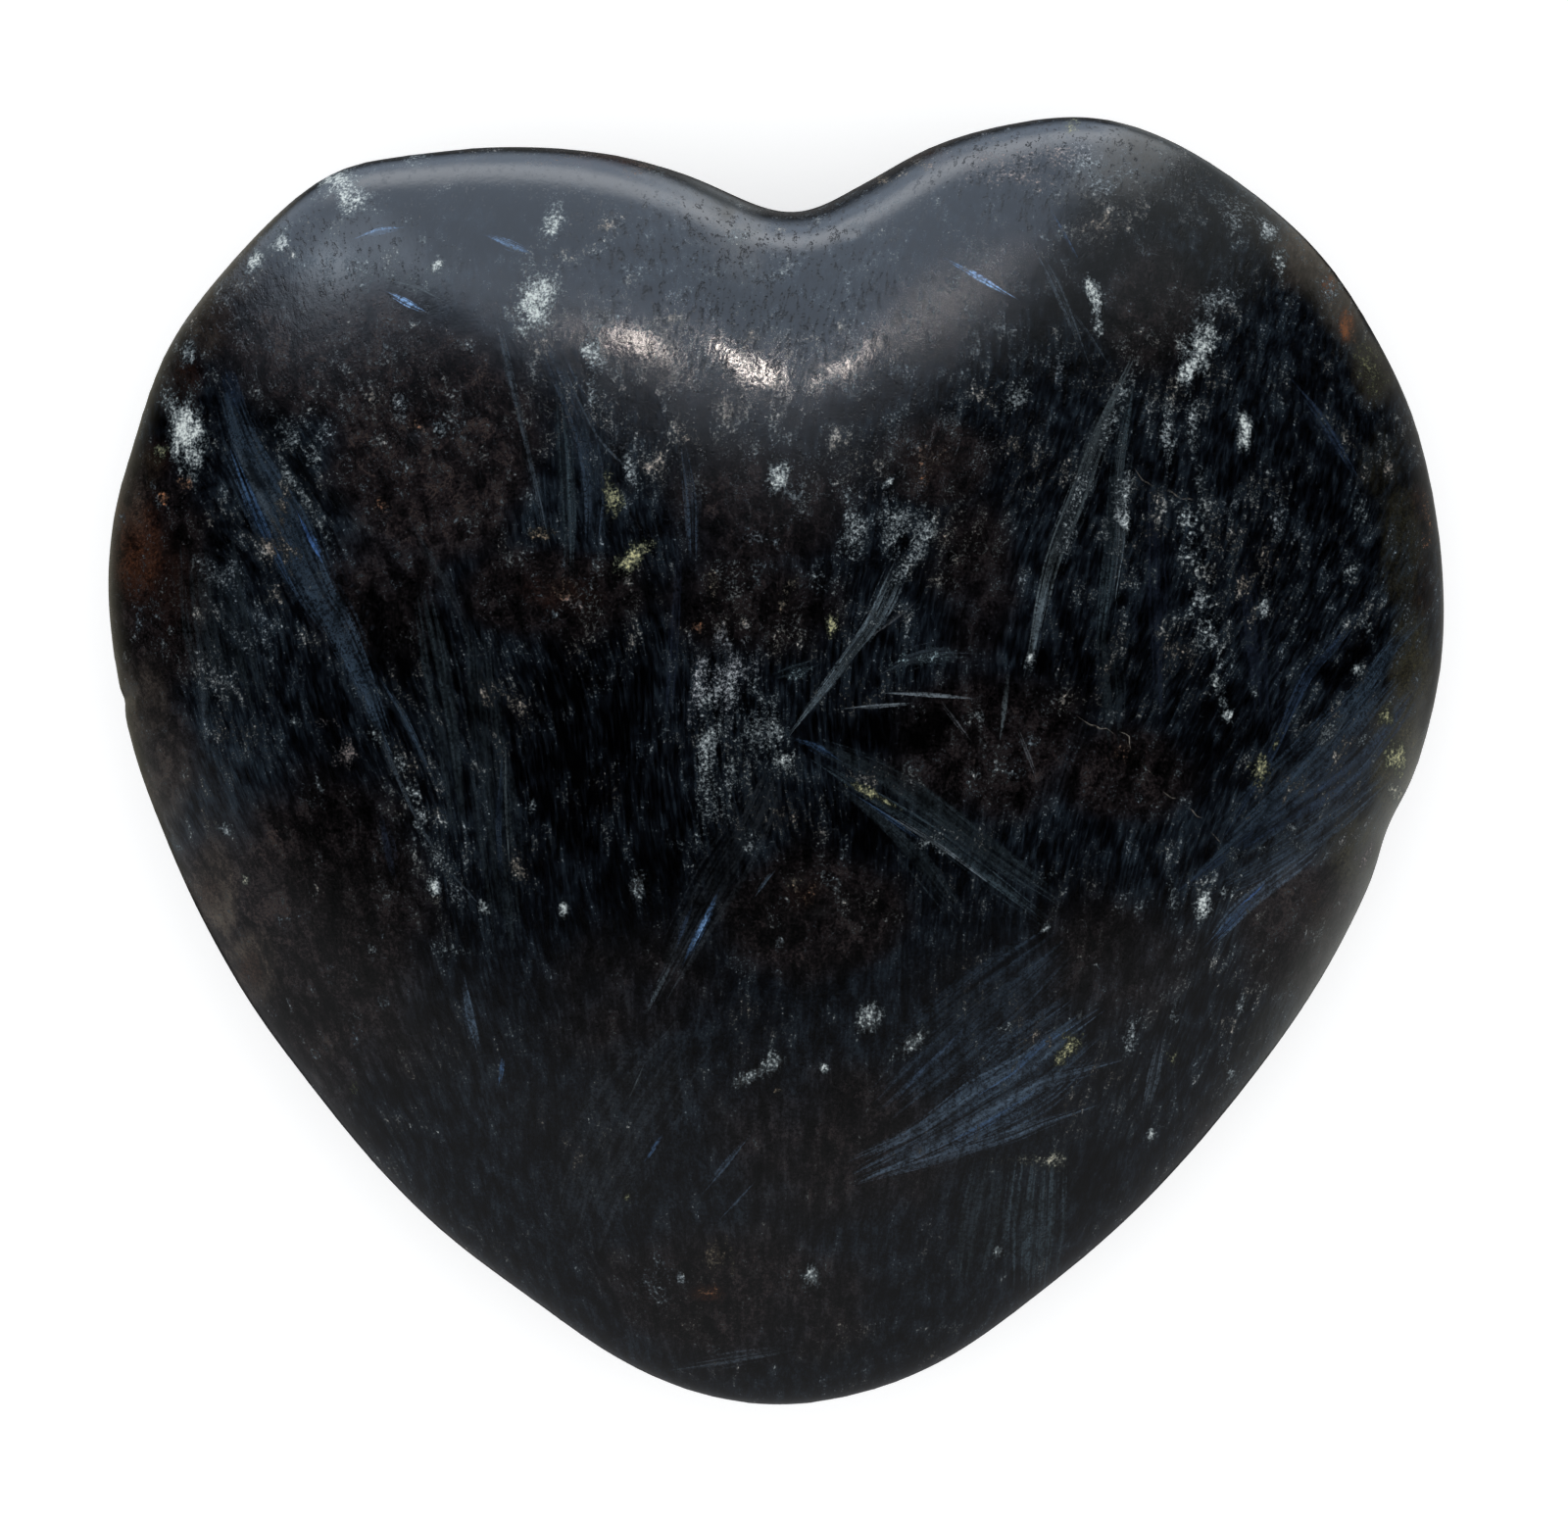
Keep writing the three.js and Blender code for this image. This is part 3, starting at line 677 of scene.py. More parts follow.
# How the marks are laid out on the skin
painting = {
    "bladeLayers": 5,        # blades that may lie over one another
    "patchLayers": 5,
    "curveStep": 5.0,        # pixels between the points of a blade's curve
    "search": 34.0,          # pixels beside a blade in which its points of the skin are looked for
    "reach": 10.0,           # pixels round a mark that carry its coordinates
    "fray": 0.4,             # share of a blade over which each end frays out
    "frayMost": 60.0,        # and no more than this many pixels
    "strandsFrom": 900.0,    # mm within which the strands of a blade start, so that no two blades are alike
    "fineBelow": 24.0,       # blades narrower than this many pixels get finer strands
    "finest": 2.4,           # at most this many times finer
    "thinnest": 0.8,         # half of the narrowest that a mark gets, in pixels
    "crackJag": 1.2,         # pixels that a crack wanders from its line
    "crackPiece": (4, 9),    # points of the curve in a piece of a crack: the least, and one past the most
    "crackGap": (1, 3),      # the same for the gap after it
    "crackFewest": 3,        # a shorter piece is left out
    "crackShow": (0.5, 1),   # share of its strength that a piece shows
    "crumbled": 4.0,         # pixels added across a patch, for what its crumbling edge takes away
    "patchReach": 1.25,      # half widths from its middle over which a patch may crumble
    "patchFaint": 0.1,       # strength of the faintest patch
    "patchSolid": 0.31,      # and what the most solid one has beyond it
    "frontFrom": (6.5, 9.0),     # mm above the floor between which the front's markings set in
    "backTo": (6.0, 8.5),    # and between which the back's end
    "zoneEdge": (0.35, 1.25),    # share of a tint's reach between which it fades
    "seed": 71,
}


def smoothLine(points):
    # A cubic curve through the given pixels, as points a few pixels apart
    points = np.array(points, float)
    padded = np.vstack([2 * points[0] - points[1], points, 2 * points[-1] - points[-2]])
    line = []
    for i in range(1, len(padded) - 2):
        a, b, c, d = padded[i - 1:i + 3]
        steps = max(2, int(np.hypot(*(c - b)) / painting["curveStep"]))
        squared = 2 * a - 5 * b + 4 * c - d
        cubed = 3 * b - a - 3 * c + d
        for t in np.linspace(0, 1, steps, endpoint=False):
            line.append(0.5 * (2 * b + (c - a) * t + squared * t ** 2 + cubed * t ** 3))
    line.append(points[-1])
    return np.array(line)


def alongLine(spots, line):
    # For every spot: how far it lies beside the line, and how far along it
    starts = line[:-1]
    steps = np.diff(line, axis=0)
    lengths = np.hypot(*steps.T)
    begun = np.concatenate([[0], np.cumsum(lengths)[:-1]])
    apart = spots[:, None, :] - starts[None]
    share = (apart * steps[None]).sum(2) / (lengths ** 2)[None]
    # The first and the last stretch run on without an end
    low = np.zeros(len(starts))
    high = np.ones(len(starts))
    low[0] = -np.inf
    high[-1] = np.inf
    share = np.clip(share, low[None], high[None])
    rest = apart - share[..., None] * steps[None]
    nearest = np.argmin((rest ** 2).sum(2), 1)
    rows = np.arange(len(spots))
    step = steps[nearest]
    gap = rest[rows, nearest]
    side = np.sign(step[:, 0] * gap[:, 1] - step[:, 1] * gap[:, 0])
    across = side * np.hypot(*gap.T)
    along = begun[nearest] + share[rows, nearest] * lengths[nearest]
    return across, along, lengths.sum()


# What each point of the skin carries in each layer: its place in the mark that covers it, and that mark's
# colour and strength
mmPerPixel = 1 / view["pixelsPerMm"]
farAway = 9.0    # half widths, well outside any patch
bladePlace = np.zeros((painting["bladeLayers"], count, 3))
bladeShape = np.zeros((painting["bladeLayers"], count, 3))
bladeTint = np.zeros((painting["bladeLayers"], count, 4))
patchPlace = np.full((painting["patchLayers"], count, 3), farAway)
patchTint = np.zeros((painting["patchLayers"], count, 4))
bladeUsed = np.zeros((painting["bladeLayers"], count), bool)
patchUsed = np.zeros((painting["patchLayers"], count), bool)
dice = np.random.default_rng(painting["seed"])


def freeLayer(used, core, name):
    # The first layer in which neither the mark nor the points round it are taken
    wide = core.copy()
    wide[edges[core[edges[:, 0]], 1]] = True
    wide[edges[core[edges[:, 1]], 0]] = True
    for layer in range(len(used)):
        if not (used[layer] & wide).any():
            used[layer] |= wide
            return layer, wide
    print("no free layer for", name)
    return None, wide


def paintBlade(name, mark, side):
    # side is how much of the mark each point of the skin shows, for the front or for the back
    points, widths, tint, show, solid = mark
    line = smoothLine(points)
    reach = max(widths) / 2 + painting["search"]
    inBox = (pixels > line.min(0) - reach) & (pixels < line.max(0) + reach)
    chosen = np.flatnonzero((side > 0) & inBox.all(1))
    if not len(chosen):
        return
    across, along, length = alongLine(pixels[chosen], line)
    half = np.interp(along / length, np.linspace(0, 1, len(widths)), widths) / 2
    half = np.maximum(half, painting["thinnest"])
    inside = (np.abs(across) < half + painting["reach"]) & (along > -painting["reach"])
    inside &= along < length + painting["reach"]
    core = np.zeros(count, bool)
    core[chosen[inside]] = True
    if not core.any():
        return
    layer, wide = freeLayer(bladeUsed, core, name)
    if layer is None:
        return
    taken = np.flatnonzero(wide[chosen])
    index = chosen[taken]
    fade = min(length * painting["fray"], painting["frayMost"])
    ends = np.minimum(along[taken], length - along[taken]) / fade
    begin = dice.uniform(0, painting["strandsFrom"])
    finer = min(max(painting["fineBelow"] / max(widths), 1), painting["finest"])
    converging = np.sqrt(max(widths) / 2 / half[taken]) * finer
    strandSide = across[taken] * converging * mmPerPixel
    strandAlong = along[taken] * mmPerPixel + begin
    bladePlace[layer, index] = np.stack([strandSide, strandAlong, np.zeros(len(index))], 1)
    shown = show * side[index] * core[index]
    bladeShape[layer, index] = np.stack([across[taken] / half[taken], ends, shown], 1)
    bladeTint[layer, index] = list(linear(rockColours[tint])[:3]) + [solid]


def paintCrack(name, mark, side):
    # A wandering line in short pieces, with gaps where the crack holds no dust
    points, widths, tint, show, solid = mark
    line = smoothLine(points)
    line += dice.normal(0, 1, line.shape) * painting["crackJag"]
    begin = 0
    while begin < len(line) - 2:
        end = begin + dice.integers(*painting["crackPiece"])
        piece = line[begin:end]
        if len(piece) >= painting["crackFewest"]:
            shown = show * dice.uniform(*painting["crackShow"])
            paintBlade(name, (piece, widths, tint, shown, solid), side)
        begin = end + dice.integers(*painting["crackGap"])


def paintPatch(name, mark, side):
    across, down, length, width, lean, tint, solid = mark
    length, width = length + painting["crumbled"], width + painting["crumbled"]
    turn = math.radians(lean)
    offset = pixels - (across, down)
    up = (offset[:, 0] * math.sin(turn) - offset[:, 1] * math.cos(turn)) / (length / 2)
    sideways = (offset[:, 0] * math.cos(turn) + offset[:, 1] * math.sin(turn)) / (width / 2)
    outside = (np.hypot(up, sideways) - painting["patchReach"]) * min(length, width) / 2
    core = (outside < painting["reach"]) & (side > 0)
    if not core.any():
        return
    layer, wide = freeLayer(patchUsed, core, name)
    if layer is None:
        return
    hexColour, strength = patchKinds[tint]
    strength *= painting["patchFaint"] + painting["patchSolid"] * solid
    patchPlace[layer, wide] = np.stack([up[wide], sideways[wide], np.zeros(wide.sum())], 1)
    patchTint[layer, wide, :3] = linear(hexColour)[:3]
    patchTint[layer, wide, 3] = (strength * side * core)[wide]


frontSide = smoothStep(*painting["frontFrom"], z)
for name, mark in cracks.items():
    paintCrack(name, mark, frontSide)
for name, mark in blades.items():
    paintBlade(name, mark, frontSide)
for name, mark in patches.items():
    paintPatch(name, mark, frontSide)
print("front markings laid out")

# The back is not in the picture, so its sprays and flecks are drawn by chance, in the same sizes and
# colours. Lengths and places are in pixels, and two numbers are the least and the most.
back = {
    "blades": 40,
    "bladeAcross": (180, 1400),
    "bladeDown": (230, 1250),
    "upright": 800,          # across, where the blades stand upright
    "perRadian": 1500,       # how far beside it they lean by a radian
    "leanSpread": 0.25,      # radians
    "crossing": 0.25,        # share of the blades that lie across the others
    "crossLean": (0.6, 1.2),     # radians
    "bladeLong": (60, 330),
    "bladeWide": (0.05, 0.2),    # share of its length
    "bow": 0.05,             # share of its length
    "taper": (0.2, 1, 0.8, 0.3),     # its width from end to end, as shares of the full width
    "bladeTints": ["steel", "deepSteel", "teal", "darkTeal", "slate",
                   "greyGreen", "royalBlue", "middleBlue", "smoke"],
    "bladeShow": (0.6, 1.0),
    "bladeSolid": (0, 0.3),
    "patches": 110,
    "patchAcross": (160, 1430),
    "patchDown": (170, 1380),
    "patchLong": (10, 60),
    "patchWide": (0.25, 0.7),    # share of its length
    "patchLean": 18,         # degrees
    "patchTints": ["frost", "frostGrey", "frostGrey", "dimFrost", "dimFrost", "straw", "rust", "tan"],
    "patchSolid": (0.2, 0.8),
    # How strongly each broad tint shows, and the mm over which its slow wave turns by a radian
    "zones": {"umber": (0.7, 9.0), "ink": (0.7, 7.0), "dust": (0.8, 6.0), "rust": (0.4, 11.0),
              "olive": (0.3, 8.0), "pitted": (0.3, 7.0), "dull": (0.3, 9.0), "smokyAndEdgeGlow": (0.5, 10.0),
              "rings": (0.7, 6.0), "lift": (0.5, 12.0)},
    "waveStart": 6,          # radians, the latest at which a wave may start
    "fineWave": (0.5, 1.7),  # the finer wave's height, and how many times quicker it turns
    "waveShown": (0.1, 1.0),     # heights of the waves between which a tint sets in
}
backSide = 1 - smoothStep(*painting["backTo"], z)
for number in range(back["blades"]):
    start = np.array([dice.uniform(*back["bladeAcross"]), dice.uniform(*back["bladeDown"])])
    lean = (start[0] - back["upright"]) / back["perRadian"] + dice.normal(0, back["leanSpread"])
    if dice.random() < back["crossing"]:
        lean += dice.choice([-1, 1]) * dice.uniform(*back["crossLean"])
    long = dice.uniform(*back["bladeLong"])
    way = np.array([-math.sin(lean), math.cos(lean)])
    bow = np.array([way[1], -way[0]]) * dice.normal(0, long * back["bow"])
    wide = long * dice.uniform(*back["bladeWide"])
    spine = [start, start + way * long * 0.5 + bow, start + way * long]
    widths = [wide * share for share in back["taper"]]
    tint = dice.choice(back["bladeTints"])
    show = dice.uniform(*back["bladeShow"])
    solid = dice.uniform(*back["bladeSolid"])
    paintBlade("back blade", (spine, widths, tint, show, solid), backSide)
for number in range(back["patches"]):
    tint = dice.choice(back["patchTints"])
    long = dice.uniform(*back["patchLong"])
    across = dice.uniform(*back["patchAcross"])
    down = dice.uniform(*back["patchDown"])
    wide = long * dice.uniform(*back["patchWide"])
    lean = dice.normal(0, back["patchLean"])
    solid = dice.uniform(*back["patchSolid"])
    paintPatch("back patch", (across, down, long, wide, lean, tint, solid), backSide)
print("back markings laid out")

zoneLevels = {}
for name, spots in zones.items():
    level = np.zeros(count)
    for across, down, wide, high, amount in spots:
        away = np.hypot((pixels[:, 0] - across) / wide, (pixels[:, 1] - down) / high)
        level = np.maximum(level, amount * (1 - smoothStep(*painting["zoneEdge"], away)))
    zoneLevels[name] = level * frontSide
for name, (amount, reach) in back["zones"].items():
    # A slow wave with a finer one over it, each starting anywhere
    phase = dice.uniform(0, back["waveStart"], 4)
    high, quick = back["fineWave"]
    wave = np.sin(x / reach + phase[0]) * np.sin(y / reach + phase[1])
    wave += high * np.sin((x + y) / reach * quick + phase[2])
    level = smoothStep(*back["waveShown"], wave) * amount * backSide
    zoneLevels[name] = np.maximum(zoneLevels[name], level)

# The thin edge of the real rock lets some light through, in patches a few mm long. Here that is a paler
# colour.
edgeGlow = {
    "tilt": (0.12, 0.5),     # from an upright skin to a tilted one, over which it fades
    "above": (9.5, 11.5),    # mm above the floor between which it sets in
    "most": 0.9,
}
thinEdge = (1 - smoothStep(*edgeGlow["tilt"], normals[:, 2])) * smoothStep(*edgeGlow["above"], z)
patchy = 0.5 + 0.5 * np.sin(x / 2.7 + 1.3) * np.sin(y / 3.3 + x / 5.0)
zoneLevels["smokyAndEdgeGlow"] = np.maximum(zoneLevels["smokyAndEdgeGlow"], thinEdge * patchy * edgeGlow["most"])

# The grain of the rock opens upwards like a sheaf and wanders a little, and its own coordinates, in mm,
# bend with it
opening = 0.0157     # share by which it opens in each mm
wander = 0.5 * np.sin(y / 6.1 + x / 8.3) + 0.25 * np.sin(y / 2.7 - x / 3.9 + 1.1)
grain = np.stack([x * np.exp(-opening * y) + wander, y + opening / 2 * x ** 2, z], 1)


def keep(name, data):
    # One attribute on the points of the skin, for the material to read: three numbers, or four as a colour
    kind, member = ("FLOAT_VECTOR", "vector") if data.shape[1] == 3 else ("FLOAT_COLOR", "color")
    attribute = stone.data.attributes.new(name, kind, "POINT")
    attribute.data.foreach_set(member, np.ascontiguousarray(data, np.float32).ravel())


def together(*names):
    return np.stack([zoneLevels[name] for name in names], 1)


zoneLevels["dust"] -= zoneLevels["calm"]
keep("grain", grain)
keep("tintZones", together("umber", "ink", "dust", "rust"))
keep("rimZones", together("olive", "pitted", "dull"))
keep("bodyZones", together("smokyAndEdgeGlow", "rings", "lift"))
for layer in range(painting["bladeLayers"]):
    keep(f"bladePlace{layer}", bladePlace[layer])
    keep(f"bladeShape{layer}", bladeShape[layer])
    keep(f"bladeTint{layer}", bladeTint[layer])
for layer in range(painting["patchLayers"]):
    keep(f"patchPlace{layer}", patchPlace[layer])
    keep(f"patchTint{layer}", patchTint[layer])
print("markings kept:", [int(used.sum()) for used in bladeUsed], [int(used.sum()) for used in patchUsed])


# Polished astrophyllite rock: amphibole-dark ground under a hand polish. The eye gets a deep satin black
# with a clear window reflection, silky blue fibre in blades, and crumbly pale grains that stay matt.
finish = {
    "ior": 1.6,
    "roughPolished": 0.13,
    "roughGrainy": 0.45,
    "crumb": 0.175,          # mm across the larger crumbs, drawn a little coarser so that they show
    "hairWide": 0.19,        # mm across one ground fibre, with finer ones within it
    "hairLong": 1.5,
    "hairDeep": 0.5,
    "hairShare": 0.45,       # how much of the fibres' light and dark the crumbs between them take on
    "clumpWide": 0.85,       # mm across a cloud of grains
    "clumpLong": 1.9,
    "clumpDeep": 1.2,
    "drift": 4.5,            # mm over which the hue and the density change slowly
    "strandWide": 0.34,      # mm across one strand of a blade, with finer ones down to 0.08 within it
    "strandLong": 14.0,
    "strandFray": 2.6,       # how far the strands run past each other at the sides and ends of a blade
    "patchFray": 1.7,        # how far clumps and fibres fray a pale patch
    "crystal": 0.75,         # mm across the brown crystals
    "relief": 0.000012,      # m
}

rock = bpy.data.materials.new("polishedAstrophylliteRock")
rock.use_nodes = True
tree = rock.node_tree
tree.nodes.clear()
multiply = {"operation": "MULTIPLY"}
multiplyAdd = {"operation": "MULTIPLY_ADD"}
plus = {"operation": "ADD"}
larger = {"operation": "MAXIMUM"}
smooth = {"interpolation_type": "SMOOTHSTEP"}
colourMix = {"out": 2, "data_type": "RGBA"}
grainMm = addNode(tree, "Attribute", out="Vector", attribute_name="grain")
objectMetres = addNode(tree, "TexCoord", out="Object")
objectMm = addNode(tree, "VectorMath", {0: objectMetres, "Scale": mmPerMetre}, operation="SCALE")
tints = addNode(tree, "Attribute", out=None, attribute_name="tintZones")
tintParts = addNode(tree, "SeparateColor", {0: tints.outputs["Color"]}, out=None)
umber, ink, dust = tintParts.outputs
rustZone = tints.outputs["Alpha"]
rimZones = addNode(tree, "Attribute", out="Vector", attribute_name="rimZones")
rimParts = addNode(tree, "SeparateXYZ", {0: rimZones}, out=None)
oliveAndRimGlow, pitted, dull = rimParts.outputs
bodyZones = addNode(tree, "Attribute", out="Vector", attribute_name="bodyZones")
bodyParts = addNode(tree, "SeparateXYZ", {0: bodyZones}, out=None)
smokyAndEdgeGlow, ringZone, lift = bodyParts.outputs

# Crumbs of every size, fibres along the grain, and slow drifts of density and hue
crumb = addNode(tree, "TexNoise", {"Vector": objectMm, "Scale": 1 / finish["crumb"],
                                   "Detail": 2.0, "Roughness": 0.85})
hairScale = (1 / finish["hairWide"], 1 / finish["hairLong"], 1 / finish["hairDeep"])
hairVector = addNode(tree, "VectorMath", {0: grainMm, 1: hairScale}, **multiply)
hair = addNode(tree, "TexNoise", {"Vector": hairVector, "Scale": 1.0, "Detail": 2.0, "Roughness": 0.65})
clumpScale = (1 / finish["clumpWide"], 1 / finish["clumpLong"], 1 / finish["clumpDeep"])
clumpVector = addNode(tree, "VectorMath", {0: grainMm, 1: clumpScale}, **multiply)
clump = addNode(tree, "TexNoise", {"Vector": clumpVector, "Scale": 1.0, "Detail": 3.0, "Roughness": 0.6})
drift = addNode(tree, "TexNoise", {"Vector": objectMm, "Scale": 1 / finish["drift"],
                                   "Detail": 3.0, "Roughness": 0.62})
brownShare = addNode(tree, "Math", {0: drift, 1: umber}, **plus)
brownMask = addNode(tree, "MapRange", {"Value": brownShare, "From Min": 0.6, "From Max": 1.15}, **smooth)

# Crystals, each a little lighter or darker than the next, and the rings round some of them
cells = addNode(tree, "TexVoronoi", {"Vector": objectMm, "Scale": 1 / finish["crystal"], "Randomness": 1.0},
                out=None)
cellParts = addNode(tree, "SeparateColor", {0: cells.outputs["Color"]}, out=None)
crystalLight = addNode(tree, "MapRange", {"Value": cellParts.outputs[1], "To Min": -0.08, "To Max": 0.08})
crystals = addNode(tree, "Math", {0: crystalLight, 1: brownMask}, **multiply)
ringIn = addNode(tree, "MapRange", {"Value": cells.outputs["Distance"], "From Min": 0.2, "From Max": 0.36},
                 **smooth)
ringOut = addNode(tree, "MapRange", {"Value": cells.outputs["Distance"],
                                     "From Min": 0.56, "From Max": 0.42}, **smooth)
ring = addNode(tree, "Math", {0: ringIn, 1: ringOut}, **multiply)
chosenCell = addNode(tree, "MapRange", {"Value": cellParts.outputs[0], "From Min": 0.7, "From Max": 0.95})
ringShown = addNode(tree, "Math", {0: ring, 1: chosenCell}, **multiply)
ringDense = addNode(tree, "Math", {0: ring, 1: ringZone}, **multiply)
ringBrown = addNode(tree, "Math", {0: ringShown, 1: brownMask}, **multiply)
ringMask = addNode(tree, "Math", {0: ringDense, 1: ringBrown}, **larger)

# The ground: near black, a little lighter along its fibres, and brown where the fibres give way to
# crystals. Calm stretches carry a fine grain in place of fibre.
calm = addNode(tree, "Math", {0: dust, 1: -0.7}, use_clamp=True, **multiply)
unwoven = addNode(tree, "Math", {0: brownMask, 1: calm}, **larger)
weave = addNode(tree, "Mix", {0: unwoven, 2: hair, 3: crumb})
weaveAndClump = addNode(tree, "Math", {0: weave, 1: clump}, **plus)
groundLevel = addNode(tree, "Math", {0: weaveAndClump, 1: crystals}, **plus)
for zone, weight in ((dust, 0.07), (ink, -0.22), (lift, 0.12)):
    groundLevel = addNode(tree, "Math", {0: zone, 1: weight, 2: groundLevel}, **multiplyAdd)
groundShare = addNode(tree, "MapRange", {"Value": groundLevel, "From Min": 0.76, "From Max": 1.38})
coolGround = addNode(tree, "ValToRGB", {"Fac": groundShare},
                     stops=[(0.0, "#010102"), (0.25, "#04060a"), (0.42, "#0a0e14"), (0.58, "#131a21"),
                            (0.76, "#1e272f"), (1.0, "#2f3a45")])
warmGround = addNode(tree, "ValToRGB", {"Fac": groundShare},
                     stops=[(0.0, "#010101"), (0.25, "#080607"), (0.42, "#110d0e"), (0.58, "#1d181a"),
                            (0.76, "#302826"), (1.0, "#4c3e36")])
darkGround = addNode(tree, "Mix", {0: brownMask, 6: coolGround, 7: warmGround}, **colourMix)
# A paler smoky tone: along the rim it is painted glow of light let through the thin edge, elsewhere a paler
# tone of the rock
smokyAndGlowSum = addNode(tree, "Math", {0: clump, 1: 0.8, 2: smokyAndEdgeGlow}, **multiplyAdd)
smokyAndGlowMask = addNode(tree, "MapRange", {"Value": smokyAndGlowSum, "From Min": 0.6, "From Max": 1.45}, **smooth)
smokyAndGlowTint = addNode(tree, "ValToRGB", {"Fac": groundShare},
                    stops=[(0.0, "#191614"), (0.3, "#27221f"), (0.5, "#342e29"), (0.75, "#4a433b"),
                           (1.0, "#6a6256")])
ground = addNode(tree, "Mix", {0: smokyAndGlowMask, 6: darkGround, 7: smokyAndGlowTint}, **colourMix)

# Rust and olive stains, thicker where the rock is clouded. Along the rim the olive is also painted glow of
# light let through the thin edge.
rustClouds = addNode(tree, "Math", {0: clump, 1: drift}, **plus)
rustSum = addNode(tree, "Math", {0: rustClouds, 1: 1.8, 2: rustZone}, **multiplyAdd)
rustMask = addNode(tree, "MapRange", {"Value": rustSum, "From Min": 1.95, "From Max": 3.05}, **smooth)
rustHalf = addNode(tree, "Math", {0: rustZone, 1: 0.46}, **multiply)
rustGrain = addNode(tree, "Math", {0: crumb, 1: 0.7, 2: rustHalf}, **multiplyAdd)
rustTint = addNode(tree, "ValToRGB", {"Fac": rustGrain},
                   stops=[(0.4, "#0e0706"), (0.64, "#1b0e0a"), (0.78, "#3a2012"), (0.92, "#6e4022")])
rusted = addNode(tree, "Mix", {0: rustMask, 6: ground, 7: rustTint}, **colourMix)
oliveAndGlowSum = addNode(tree, "Math", {0: rustClouds, 1: 0.7, 2: oliveAndRimGlow}, **multiplyAdd)
oliveAndGlowMask = addNode(tree, "MapRange", {"Value": oliveAndGlowSum, "From Min": 1.0, "From Max": 2.0, "To Max": 0.9},
                    **smooth)
oliveAndGlowTint = addNode(tree, "ValToRGB", {"Fac": crumb},
                    stops=[(0.3, "#1a1913"), (0.48, "#302e22"), (0.62, "#4a4632"), (0.78, "#78724c")])
body = addNode(tree, "Mix", {0: oliveAndGlowMask, 6: rusted, 7: oliveAndGlowTint}, **colourMix)

# Blades: silky strands along each blade's own length that fray into the ground at its sides and ends
strandScale = (1 / finish["strandWide"], 1 / finish["strandLong"], 1.0)
crumbLight = addNode(tree, "MapRange", {"Value": crumb, "From Min": 0.3, "From Max": 0.7, "To Min": 0.55,
                                        "To Max": 1.4})
clumpLight = addNode(tree, "MapRange", {"Value": clump, "From Min": 0.3, "From Max": 0.7, "To Min": 0.3,
                                        "To Max": 1.65})
bladeLight = addNode(tree, "Math", {0: crumbLight, 1: clumpLight}, **multiply)
coverGrain = addNode(tree, "MapRange", {"Value": crumb, "From Min": 0.4, "From Max": 0.56, "To Min": 0.45,
                                        "To Max": 1.0}, **smooth)
bladeCover = 0.0
for layer in range(painting["bladeLayers"]):
    place = addNode(tree, "Attribute", out="Vector", attribute_name=f"bladePlace{layer}")
    shape = addNode(tree, "Attribute", out="Vector", attribute_name=f"bladeShape{layer}")
    sideways, fromEnd, show = addNode(tree, "SeparateXYZ", {0: shape}, out=None).outputs
    tint = addNode(tree, "Attribute", out=None, attribute_name=f"bladeTint{layer}")
    strandVector = addNode(tree, "VectorMath", {0: place, 1: strandScale}, **multiply)
    strand = addNode(tree, "TexNoise", {"Vector": strandVector, "Scale": 1.0, "Detail": 2.0,
                                        "Roughness": 0.75},
                     noise_dimensions="2D")
    distance = addNode(tree, "Math", {0: sideways}, operation="ABSOLUTE")
    ragged = addNode(tree, "Math", {0: strand, 1: -finish["strandFray"], 2: distance}, **multiplyAdd)
    crumbly = addNode(tree, "Math", {0: crumb, 1: -1.0, 2: ragged}, **multiplyAdd)
    edge = addNode(tree, "MapRange", {"Value": crumbly, "From Min": -0.6, "From Max": -1.5}, **smooth)
    tip = addNode(tree, "Math", {0: strand, 1: finish["strandFray"], 2: fromEnd}, **multiplyAdd)
    tipMask = addNode(tree, "MapRange", {"Value": tip, "From Min": 1.2, "From Max": 2.1}, **smooth)
    inside = addNode(tree, "Math", {0: edge, 1: tipMask}, **multiply)
    broken = addNode(tree, "Math", {0: inside, 1: coverGrain}, **multiply)
    cover = addNode(tree, "Math", {0: broken, 1: show}, use_clamp=True, **multiply)
    level = addNode(tree, "MapRange", {"Value": strand, "From Min": 0.32, "From Max": 0.7, "To Min": 0.05,
                                       "To Max": 1.7})
    full = addNode(tree, "Mix", {0: tint.outputs["Alpha"], 2: level, 3: 1.0})
    grainy = addNode(tree, "Math", {0: full, 1: bladeLight}, **multiply)
    shade = addNode(tree, "VectorMath", {0: tint.outputs["Color"], "Scale": grainy}, operation="SCALE")
    body = addNode(tree, "Mix", {0: cover, 6: body, 7: shade}, **colourMix)
    bladeCover = addNode(tree, "Math", {0: bladeCover, 1: cover}, **larger)

